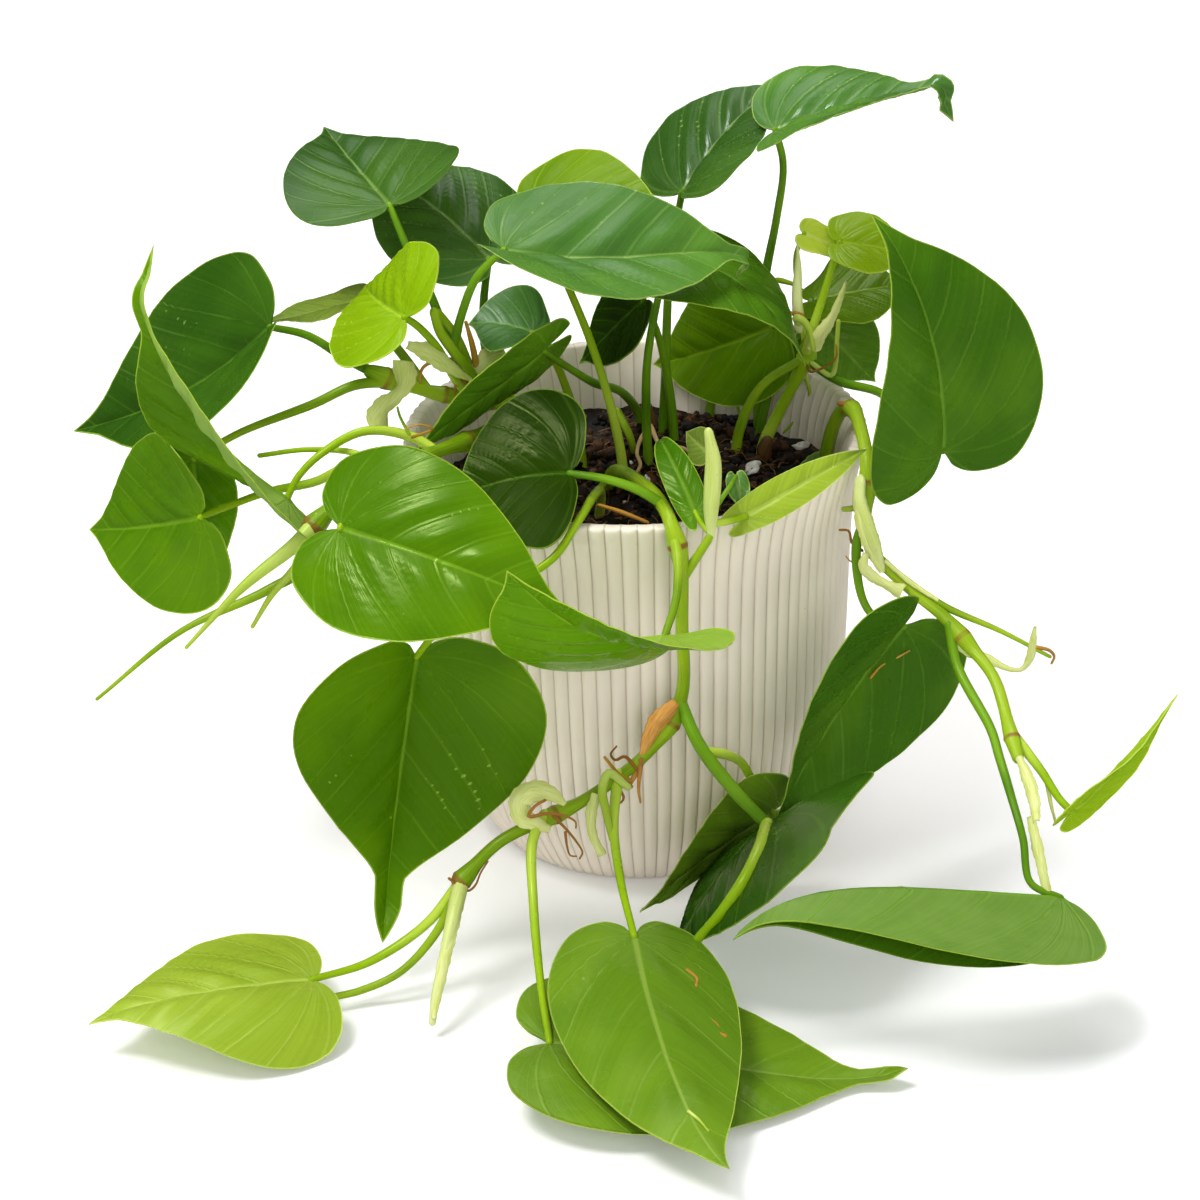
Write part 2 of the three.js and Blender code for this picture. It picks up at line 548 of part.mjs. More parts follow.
// Leaves. stalk is the path of the leaf stalk up to the blade's base, and from is what it springs from.
const LEAVES = {
  top_left: {
    from: "vine_left_back",
    stalk: [[-58, 2, 171], [-64, 6, 184], [-69, 10, 197], [-76, 17, 210]],
    base: [-82, 25, 223],
    tip: [-107, 85, 229],
    width: 63,
    roll: -20,
    arch: -5,
    curl: -5,
    fold: [16, 15],
    twist: 25,
    lobe: 0.8,
    colour: "mid",
  },
  top_left_behind: {
    from: "vine_left_back",
    stalk: [[-46, 14, 157], [-51, 18, 173], [-51, 22, 188]],
    base: [-49, 33, 199],
    tip: [-89, 73, 206],
    width: 60,
    roll: -45,
    arch: 25,
    curl: 70,
    fold: [13, 2],
    cup: [13, 22],
    twist: -20,
    lobe: 0.8,
    colour: "deep",
  },
  centre: {
    from: "vine_left_back",
    stalk: [[-58, 2, 171], [-60, -5, 184], [-57, -12, 199], [-51, -22, 216]],
    base: [-42, -27, 227],
    tip: [38, -7, 214],
    width: 66,
    roll: 55,
    arch: -20,
    curl: 45,
    sway: 33,
    fold: [15, 25],
    cup: [12, 4],
    twist: 35,
    lobe: 0.75,
    tail: [0.1, 75, TAIL_WIDTH, 0],
    colour: "mid",
  },
  centre_lime: {
    stalk: [[-4, 12, 112], [-5, 8, 135], [-9, 6, 158], [-15, 7, 180], [-25, 11, 206]],
    base: [-32, 15, 222],
    tip: [14, 3, 226],
    width: 52,
    roll: 45,
    arch: 20,
    curl: 5,
    sway: -10,
    fold: [13, 12],
    twist: 0,
    lobe: 1.1,
    colour: "lime",
  },
  top_middle: {
    stalk: [[9, 44, 112], [11, 46, 145], [13, 48, 183], [16, 44, 206]],
    base: [18, 38, 220],
    tip: [55, 66, 248],
    width: 57,
    roll: 63,
    arch: 15,
    curl: 20,
    sway: -5,
    fold: [14, 15],
    cup: [15, 11],
    twist: 20,
    lobe: 0.5,
    colour: "mid",
  },
  top_right: {
    stalk: [
      [43, 49, 112],
      [44, 52, 138],
      [44, 60, 155],
      [47, 68, 174],
      [51, 60, 200],
      [53, 43, 227],
    ],
    base: [50, 30, 245],
    tip: [103, 29, 260],
    width: 58,
    roll: 55,
    arch: 25,
    curl: -20,
    fold: [16, 17],
    cup: [16, -8],
    twist: -15,
    lobe: 0.8,
    tail: [0.3, 78, 0.16, 75],
    colour: "light",
  },
  centre_right: {
    stalk: [[5, 24, 112], [4, 16, 145], [5, 9, 172], [10, 10, 197]],
    base: [14, 9, 209],
    tip: [58, -23, 180],
    width: 64,
    roll: 52,
    arch: 55,
    curl: 15,
    fold: [4, -2],
    cup: [12, 18],
    twist: -40,
    colour: "mid",
  },
  behind_right: {
    stalk: [[26, 55, 112], [28, 59, 135], [37, 59, 151]],
    base: [50, 48, 165],
    tip: [7, 69, 142],
    lobe: 0.5,
    width: 48,
    roll: -5,
    arch: 25,
    sway: -15,
    fold: [17, 12],
    cup: [10, 12],
    colour: "deep",
  },
  behind_middle: {
    stalk: [[14, 40, 112], [13, 38, 140], [9, 33, 168]],
    base: [4, 26, 185],
    tip: [-19, 35, 158],
    width: 43,
    roll: -55,
    arch: 15,
    curl: -15,
    fold: [12, 9],
    colour: "deep",
  },
  olive: {
    from: "vine_back_right",
    stalk: [[60, 30, 160], [60, 38, 160], [61, 47, 165]],
    base: [63, 58, 170],
    tip: [97, 61, 174],
    width: 52,
    roll: 65,
    arch: 15,
    sway: 20,
    fold: [4, 14],
    cup: [18, 8],
    twist: 40,
    colour: "deep",
  },
  olive_lime: {
    from: "vine_back_right",
    stalk: [[60, 30, 161], [61, 26, 169], [66, 29, 184]],
    base: [72, 38, 200],
    tip: [100, 40, 192],
    width: 30,
    roll: 45,
    arch: 25,
    colour: "lime",
    rows: 6,
  },
  pale_small: {
    from: "vine_back_right",
    stalk: [[60, 30, 163], [58, 38, 180], [57, 41, 194]],
    radius: [1.2, 0.8],
    base: [60, 42, 202],
    tip: [76, 42, 193],
    width: 14,
    roll: 30,
    colour: "pale",
    rows: 6,
  },
  behind_rim: {
    stalk: [[42, 44, 112], [46, 46, 135], [54, 51, 156]],
    base: [66, 57, 162],
    tip: [86, 65, 135],
    width: 32,
    roll: -20,
    colour: "deep",
    rows: 6,
  },
  right: {
    from: "vine_back_right",
    stalk: [[60, 30, 160], [71, 22, 155], [85, 8, 156], [96, -10, 151]],
    base: [104, -25, 149],
    tip: [80, -24, 235],
    width: 79,
    roll: -33,
    arch: 32,
    curl: 25,
    sway: 10,
    fold: [13, 20],
    cup: [20, 6],
    twist: 28,
    lobe: 0.9,
    colour: "light",
  },
  rim_lime: {
    from: "vine_front",
    stalk: [[25, -84, 152], [31, -80, 151]],
    radius: [1.4, 1],
    base: [36, -75, 150],
    tip: [78, -37, 156],
    width: 13,
    roll: 5,
    arch: 35,
    curl: 20,
    colour: "lime",
    rows: 6,
  },
  left: {
    from: "vine_left_upper",
    stalk: [[-84, -10, 174], [-97, -7, 180], [-110, -9, 190]],
    base: [-122, -15, 196],
    tip: [-193, 3, 151],
    width: 76,
    roll: -43,
    arch: -30,
    curl: 0,
    sway: -15,
    fold: [29, 23],
    cup: [8, 14],
    twist: -10,
    lobe: 0.8,
    colour: "mid",
  },
  left_folded: {
    from: "vine_left",
    stalk: [[-66, -49, 164], [-75, -47, 169], [-90, -51, 173], [-104, -57, 168], [-112, -60, 161]],
    base: [-116, -62, 154],
    tip: [-157, -87, 234],
    tail: [0.22, 30, TAIL_WIDTH, 0],
    width: 63,
    roll: 60,
    arch: 35,
    curl: 5,
    sway: 5,
    fold: [1, 39],
    cup: [18, 18],
    twist: 25,
    colour: "light",
  },
  left_low: {
    from: "vine_left",
    stalk: [[-84, -66, 164], [-96, -54, 161], [-108, -45, 152], [-124, -39, 146], [-137, -43, 143]],
    base: [-146, -51, 143],
    tip: [-188, -15, 122],
    width: 62,
    roll: 13,
    arch: 0,
    sway: -10,
    fold: [11, 11],
    cup: [15, 14],
    twist: 30,
    colour: "mid",
  },
  left_narrow: {
    from: "vine_left_upper",
    stalk: [[-80, -9, 172], [-94, -15, 174], [-109, -17, 168], [-134, -19, 159]],
    base: [-150, -20, 150],
    tip: [-143, -27, 108],
    width: 32,
    roll: -25,
    arch: 25,
    fold: [15, 12],
    colour: "deep",
  },
  left_edge_on: {
    from: "vine_left_upper",
    stalk: [[-70, -6, 167], [-78, 2, 176], [-87, 12, 184]],
    base: [-94, 18, 191],
    tip: [-127, 17, 184],
    width: 30,
    roll: -75,
    arch: -10,
    twist: -10,
    colour: "pale",
    rows: 6,
  },
  left_crumpled: {
    from: "vine_left_upper",
    stalk: [[-56, -4, 163], [-61, -12, 175], [-66, -17, 188], [-72, -22, 198]],
    base: [-76, -26, 203],
    tip: [-91, 14, 198],
    width: 51,
    roll: 0,
    arch: 30,
    curl: -10,
    sway: -15,
    fold: [14, 12],
    cup: [9, 11],
    lobe: 1.3,
    colour: "lime",
  },
  diagonal: {
    stalk: [[3, 52, 112], [2, 52, 128], [-4, 36, 146], [-14, 14, 160], [-24, -6, 176]],
    base: [-30, -20, 187],
    tip: [-74, -44, 161],
    width: 32,
    roll: 65,
    arch: 10,
    curl: -20,
    fold: [0, 5],
    cup: [20, 12],
    twist: 10,
    lobe: 1.5,
    colour: "blue",
  },
  blue_small: {
    stalk: [[-18, 24, 112], [-20, 20, 140], [-25, 12, 164], [-30, 5, 178]],
    base: [-34, -2, 186],
    tip: [-56, 4, 187],
    width: 39,
    roll: -65,
    arch: 30,
    curl: 10,
    fold: [15, 13],
    twist: -40,
    colour: "blue",
    rows: 6,
  },
  front_upper: {
    from: "vine_front",
    stalk: [[8, -72, 154], [1, -70, 158], [-10, -67, 161]],
    base: [-22, -64, 162],
    tip: [-62, -61, 152],
    width: 62,
    roll: -35,
    arch: 15,
    curl: -5,
    sway: 20,
    fold: [13, 14],
    twist: -5,
    lobe: 0.75,
    colour: "mid",
  },
  front_lower: {
    from: "vine_left",
    stalk: [[-84, -66, 164], [-89, -78, 166], [-94, -92, 165]],
    base: [-96, -104, 163],
    tip: [-22, -128, 142],
    width: 64,
    roll: 12,
    arch: 35,
    curl: 10,
    fold: [6, 5],
    twist: -5,
    colour: "deep",
  },
  front_centre: {
    from: "vine_front",
    stalk: [[12, -86, 148], [13, -98, 145], [12, -111, 138]],
    base: [8, -122, 130],
    tip: [-41, -163, 175],
    width: 79,
    roll: 62,
    arch: 53,
    curl: -30,
    sway: -35,
    fold: [12, 15],
    cup: [14, 4],
    twist: -20,
    colour: "mid",
  },
  hanging_left: {
    stalk: [
      [-14, -8, 112],
      [-12, -30, 138],
      [-14, -58, 151],
      [-20, -80, 151],
      [-28, -89, 143],
      [-53, -93, 129],
      [-68, -92, 117],
    ],
    base: [-74, -89, 108],
    tip: [-87, -110, 26],
    tail: [0.15, 0, 0.12, 0],
    width: 92,
    roll: 12,
    arch: -40,
    curl: -5,
    sway: -5,
    fold: [19, 36],
    cup: [6, 16],
    twist: 5,
    colour: "mid",
  },
  floor_left: {
    from: "vine_front",
    stalk: [[-61, -116, 38], [-73, -120, 24], [-92, -127, 14]],
    base: [-111, -138, 14],
    tip: [-183, -160, 12],
    width: 72,
    roll: -63,
    arch: 10,
    curl: 15,
    fold: [0, 4],
    cup: [47, 11],
    twist: 13,
    lobe: 0.6,
    colour: "light",
  },
  floor_centre: {
    from: "vine_front",
    stalk: [[-8, -94, 65], [-10, -108, 54], [-8, -128, 43]],
    base: [-4, -150, 35],
    tip: [24, -262, 17],
    width: 63,
    roll: 25,
    arch: 25,
    curl: -45,
    sway: 18,
    fold: [-9, -13],
    cup: [14, 13],
    lobe: 0.7,
    colour: "mid",
  },
  floor_right: {
    from: "vine_front",
    stalk: [[-33, -106, 57], [-37, -116, 52], [-37, -132, 39], [-35, -158, 25]],
    base: [-32, -181, 14],
    tip: [76, -189, 4],
    tail: [0.07, -5, TAIL_WIDTH, 0],
    width: 87,
    roll: 63,
    arch: 20,
    curl: -40,
    fold: [6, 6],
    cup: [9, 17],
    lobe: 0.8,
    colour: "mid",
  },
  hanging_right: {
    from: "vine_right",
    stalk: [[77, -38, 130], [74, -41, 122], [75, -46, 107], [78, -52, 102], [83, -57, 100]],
    base: [89, -59, 100],
    tip: [44, -92, 44],
    width: 82,
    roll: 50,
    arch: -20,
    fold: [19, 24],
    cup: [22, 8],
    colour: "light",
  },
  low_underside: {
    from: "vine_front",
    stalk: [[13, -81, 85], [19, -91, 74], [30, -101, 62]],
    radius: [2.2, 2.2],
    base: [41, -106, 51],
    tip: [9, -131, 15],
    width: 97,
    roll: -70,
    arch: 45,
    curl: -5,
    sway: -25,
    fold: [7, -16],
    cup: [17, 12],
    twist: -15,
    lobe: 3.6,
    colour: "pale",
  },
  low_dark: {
    from: "low_underside",
    stalk: [[21, -93, 72], [27, -89, 69], [33, -82, 62], [38, -77, 50]],
    base: [44, -74, 38],
    tip: [-2, -114, 23],
    width: 48,
    roll: 55,
    arch: -20,
    sway: -15,
    fold: [-3, 4],
    cup: [20, 21],
    twist: -10,
    colour: "deep",
  },
  low_folded: {
    from: "vine_right",
    stalk: [[104, -64, 103], [106, -72, 92], [116, -95, 79], [118, -104, 74],
      [121, -120, 67], [124, -132, 58], [126, -140, 46]],
    base: [136, -140, 40],
    tip: [28, -166, 42],
    width: 77,
    roll: 109,
    arch: 0,
    curl: -65,
    sway: 14,
    fold: [135, 20],
    cup: [-9, 12],
    twist: 5,
    lobe: 0.5,
    slim: [1, 0],
    colour: "light",
  },
  low_young: {
    from: "vine_right",
    stalk: [[122, -98, 80], [127, -103, 75], [132, -109, 70], [137, -116, 64]],
    base: [141, -120, 61],
    tip: [176, -109, 98],
    width: 15,
    roll: -50,
    arch: 15,
    twist: 25,
    fold: [25, 22],
    lobe: 1,
    colour: "lime",
    rows: 6,
  },
  rim_dark: {
    from: "vine_front",
    stalk: [[24, -86, 149], [21, -86, 153]],
    radius: [1, 0.8],
    base: [19, -83, 156],
    tip: [9, -46, 164],
    width: 12,
    roll: 0,
    arch: 50,
    curl: 50,
    sway: 10,
    colour: "deep",
    rows: 6,
  },
  rim_small: {
    from: "vine_front",
    stalk: [[25, -83, 156], [30, -75, 160]],
    radius: [0.9, 0.7],
    base: [33, -65, 160],
    tip: [35, -72, 150],
    width: 8,
    roll: 10,
    colour: "blue",
    rows: 5,
  },
  rim_round: {
    from: "vine_front",
    stalk: [[25, -83, 160], [27, -72, 162], [26, -65, 165]],
    radius: [1, 0.8],
    base: [24, -60, 167],
    tip: [17, -48, 169],
    width: 13,
    roll: 24,
    colour: "blue",
    rows: 6,
  },
};

// Papery sheaths that stay at the nodes when a leaf has opened
const SHEATHS = {
  sheath_right_top: { base: [77, -40, 140], tip: [81, -47, 121], width: 7, arch: 40 },
  sheath_right_low: { base: [127, -112, 75], tip: [127, -140, 68], width: 6, arch: 30 },
  sheath_back_right: { base: [57, 28, 172], tip: [57, 34, 201], width: 7, arch: -20 },
  sheath_back_right_low: { base: [65, 22, 167], tip: [73, 12, 195], width: 8, arch: 20 },
  sheath_left_hood: { base: [-77, -14, 181], tip: [-89, -23, 163], width: 10, arch: 60 },
  sheath_left_middle: { base: [-71, -20, 190], tip: [-57, -17, 172], width: 8, arch: 40 },
  sheath_left_back: { base: [-56, -2, 176], tip: [-44, 6, 181], width: 7, arch: 40 },
  sheath_front: { base: [-14, -105, 69], tip: [-16, -114, 44], width: 7, arch: 30 },
  sheath_front_dry: { base: [11, -88, 84], tip: [-5, -95, 56], width: 8, arch: 40, colour: "dry" },
};

const root = new THREE.Group();
const SURFACES = { pot: 0.35, soil: 0.95, dry: 0.8 };

function add(name, body, colour) {
  const mesh = body.simplify(FINEST_DETAIL).getMesh();
  const geometry = new THREE.BufferGeometry();
  geometry.setAttribute("position", new THREE.BufferAttribute(mesh.vertProperties, mesh.numProp));
  geometry.setIndex(new THREE.BufferAttribute(mesh.triVerts, 1));
  geometry.computeVertexNormals();
  const roughness = SURFACES[colour] ?? 0.5;
  const material = new THREE.MeshStandardMaterial({ color: COLOURS[colour], roughness, metalness: 0 });
  const made = new THREE.Mesh(geometry, material);
  made.name = name;
  root.add(made);
}

const stem = (form, grow) => solid(stemGeometry(form, grow));
const widened = {}; // each vine and stalk with air around it, for what springs from it
let soil = soilSolid();

for (const [name, vine] of Object.entries(VINES)) {
  const twigs = (vine.twigs ?? []).map((twig) => ({ ...twig, sides: TWIG_SIDES }));
  const parts = [vine, ...twigs];
  const body = parts.map((part) => stem(part)).reduce((all, part) => all.add(part));
  widened[name] = parts.map((part) => stem(part, GAP)).reduce((all, part) => all.add(part));
  soil = soil.subtract(widened[name]);
  add(name, body, "stem");
}

for (const [name, form] of Object.entries(LEAVES)) {
  const blade = new Blade(form);
  const radius = form.radius ?? STALK_RADIUS;
  const path = [...form.stalk, form.base];
  const stalk = { path, radius, sides: STALK_SIDES, step: STALK_STEP };
  widened[name] = stem(stalk, GAP);
  const cutters = form.from ? [widened[form.from]] : [];
  if (!form.from) soil = soil.subtract(stem(stalk, 2 * GAP));
  const leaf = solid(bladeGeometry(blade)).add(stem(stalk));
  add(`leaf_${name}`, trimmed(leaf, cutters), form.colour);
}

for (const [name, form] of Object.entries(SHEATHS)) {
  const rolled = { outline: "sheath", rows: 5, cup: [50, 50], fold: [20, 20], roll: 0 };
  const blade = new Blade({ ...rolled, ...form });
  add(name, solid(bladeGeometry(blade)), form.colour ?? "pale");
}

add("pot", potSolid(), "pot");
add("soil", soil, "soil");

export default root;
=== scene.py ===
"""Looks of the potted heartleaf philodendron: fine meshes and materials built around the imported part.

Tables hold millimetres in the part's own frame: +Z up, the origin under the middle of the pot and the
plant's front towards -Y. Every mesh is turned into metres as it is made.
"""

import json
import math

import bmesh
import bpy
import numpy as np
from mathutils import Matrix, Vector, noise

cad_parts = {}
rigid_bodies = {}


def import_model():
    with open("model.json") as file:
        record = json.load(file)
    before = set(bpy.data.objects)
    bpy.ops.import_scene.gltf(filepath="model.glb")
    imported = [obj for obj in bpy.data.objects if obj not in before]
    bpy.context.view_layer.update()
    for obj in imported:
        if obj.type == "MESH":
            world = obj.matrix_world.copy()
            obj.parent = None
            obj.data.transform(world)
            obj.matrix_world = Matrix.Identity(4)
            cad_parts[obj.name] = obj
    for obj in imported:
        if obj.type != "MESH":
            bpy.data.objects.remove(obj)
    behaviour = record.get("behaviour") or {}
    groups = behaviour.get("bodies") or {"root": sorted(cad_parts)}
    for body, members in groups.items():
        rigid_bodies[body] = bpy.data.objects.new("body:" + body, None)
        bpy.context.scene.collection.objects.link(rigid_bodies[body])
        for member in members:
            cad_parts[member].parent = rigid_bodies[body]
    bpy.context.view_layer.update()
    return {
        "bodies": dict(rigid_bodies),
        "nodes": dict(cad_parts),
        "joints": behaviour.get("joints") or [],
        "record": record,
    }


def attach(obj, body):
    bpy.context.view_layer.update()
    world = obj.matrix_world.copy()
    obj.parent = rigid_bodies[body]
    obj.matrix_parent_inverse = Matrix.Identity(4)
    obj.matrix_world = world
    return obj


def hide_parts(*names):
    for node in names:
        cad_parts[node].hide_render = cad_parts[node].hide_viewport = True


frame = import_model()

MM = 0.001
rng = np.random.default_rng(11)

# Pot and soil
POT_HEIGHT = 148
POT_RIBS = 90
RIB_DEPTH = 1.3
POT_FLOOR = 8
SOIL_LEVEL = 125
POT_OUTSIDE = [(51, 0), (58, 9), (64.5, 22), (70.5, 50), (75.5, 128), (80, POT_HEIGHT)]
POT_INSIDE = [(56, POT_FLOOR), (66, 50), (70.5, 134), (75, POT_HEIGHT)]

# Half outline of a blade: along the midrib, and out from it, as shares of its length and half width
HEART = [
    (0, 0), (-0.09, 0.12), (-0.14, 0.36), (-0.09, 0.72), (0.14, 1), (0.42, 0.92),
    (0.68, 0.56), (0.87, 0.17), (1, 0),
]
FACING = Vector((0, -0.91, 0.415))  # what a blade with no roll faces
SINUS = 0.1  # share of the outline at which it leaves the stalk
VEIN_SPREAD = 1.15
TAIL_FOLD = 0.25  # share of a drip tip's own length over which it bends
TAIL_BLEND = 0.8  # share of the outline past which a blade stays as wide as its drip tip
VEIN_STEP = 0.21  # from one side vein to the next, as a share of the blade's length
SKIN = 0.3  # half of a blade's thickness at its midrib, and at its margin
THIN = 0.17
NODE_REACH = 6  # half length of the swelling at a node of a vine

# Vines from foot to end, with the twigs that spring from them. skin says which material a twig wears.
VINES = {
    "vine_front": dict(
        path=[
            (-12, 12, 112), (-8, -5, 134), (0, -40, 148), (7, -66, 153), (11, -83, 152),
            (14, -88, 140), (14, -87, 117), (13, -81, 85), (3, -88, 71), (-19, -100, 59),
            (-48, -112, 50), (-61, -116, 38),
        ],
        radius=(2.4, 2), swell=[(0.43, 1), (0.68, 1.4), (0.86, 1), (1, 1.4)],
        twigs=[
            dict(skin="green", radius=(1.5, 1.4), path=[
                (13, -88, 131), (17, -88, 138), (24, -87, 149),
            ]),
            dict(skin="bud", radius=(2.7, 1.2), path=[
                (-61, -116, 38), (-64, -128, 30), (-67, -138, 21), (-70, -148, 12), (-71, -152, 5),
            ]),
            dict(skin="green", radius=(1.6, 1.2), path=[
                (-61, -116, 38), (-70, -123, 22), (-82, -129, 11), (-95, -132, 6), (-106, -135, 5),
            ]),
        ],
    ),
    "vine_left": dict(
        path=[
            (-40, 24, 112), (-42, 10, 142), (-46, -14, 157), (-56, -36, 162), (-70, -54, 165),
            (-84, -66, 164), (-97, -76, 160), (-106, -81, 153),
        ],
        radius=(2.4, 2.2), swell=[(0.56, 1), (0.77, 1.6), (1, 1.6)],
        twigs=[
            dict(skin="pale", radius=(3, 0.6), path=[
                (-104, -80, 155), (-112, -86, 149), (-129, -96, 139), (-148, -108, 123),
            ]),
            dict(skin="pale", radius=(2.2, 0.7), path=[
                (-105, -81, 153), (-111, -88, 143), (-120, -92, 134), (-127, -96, 124),
            ]),
            dict(skin="green", radius=(2, 0.6), path=[
                (-106, -80, 153), (-111, -82, 138), (-123, -84, 131), (-151, -90, 120),
                (-180, -95, 98),
            ]),
            dict(skin="lime", radius=(1.2, 0.8), path=[
                (-84, -65, 164), (-92, -56, 167), (-109, -47, 165), (-126, -40, 160),
            ]),
        ],
    ),
    "vine_left_upper": dict(
        path=[
            (-32, 4, 112), (-35, 2, 142), (-42, 0, 158), (-56, -4, 163), (-70, -6, 167),
            (-84, -10, 174), (-89, -11, 177),
        ],
        radius=(2.4, 2), swell=[(0.56, 0.8), (0.72, 0.8), (0.94, 1.8)],
    ),
    "vine_left_back": dict(
        path=[(-30, 34, 112), (-36, 26, 140), (-46, 14, 157), (-58, 2, 171), (-62, -2, 175)],
        radius=(2.3, 2), swell=[(0.92, 2.2)],
    ),
    "vine_back_right": dict(
        path=[(44, 30, 112), (45, 30, 127), (51, 30, 141), (60, 30, 160), (61, 30, 166)],
        radius=(2.3, 2), swell=[(0.9, 1.4)],
        twigs=[
            dict(skin="green", radius=(1.9, 1.6), path=[
                (34, 30, 112), (37, 28, 136), (45, 27, 152), (58, 29, 160),
            ]),
        ],
    ),
    "vine_right": dict(
        path=[
            (65, 8, 112), (66, 7, 134), (70, 2, 151), (74, -6, 157), (77, -23, 154), (78, -30, 149),
            (78, -35, 140), (77, -38, 130), (79, -42, 120), (83, -46, 117), (93, -54, 110),
            (103, -62, 104), (111, -70, 97), (118, -82, 91), (122, -98, 80), (124, -108, 75),
        ],
        radius=(2.4, 1.9), swell=[(0.25, 0.8), (0.42, 0.8), (0.75, 0.8), (0.96, 0.8)],
        twigs=[
            dict(skin="green", radius=(1.7, 0.6), path=[
                (84, -46, 116), (92, -50, 111), (103, -57, 106), (121, -66, 101), (137, -74, 95),
            ]),
        ],
    ),
}

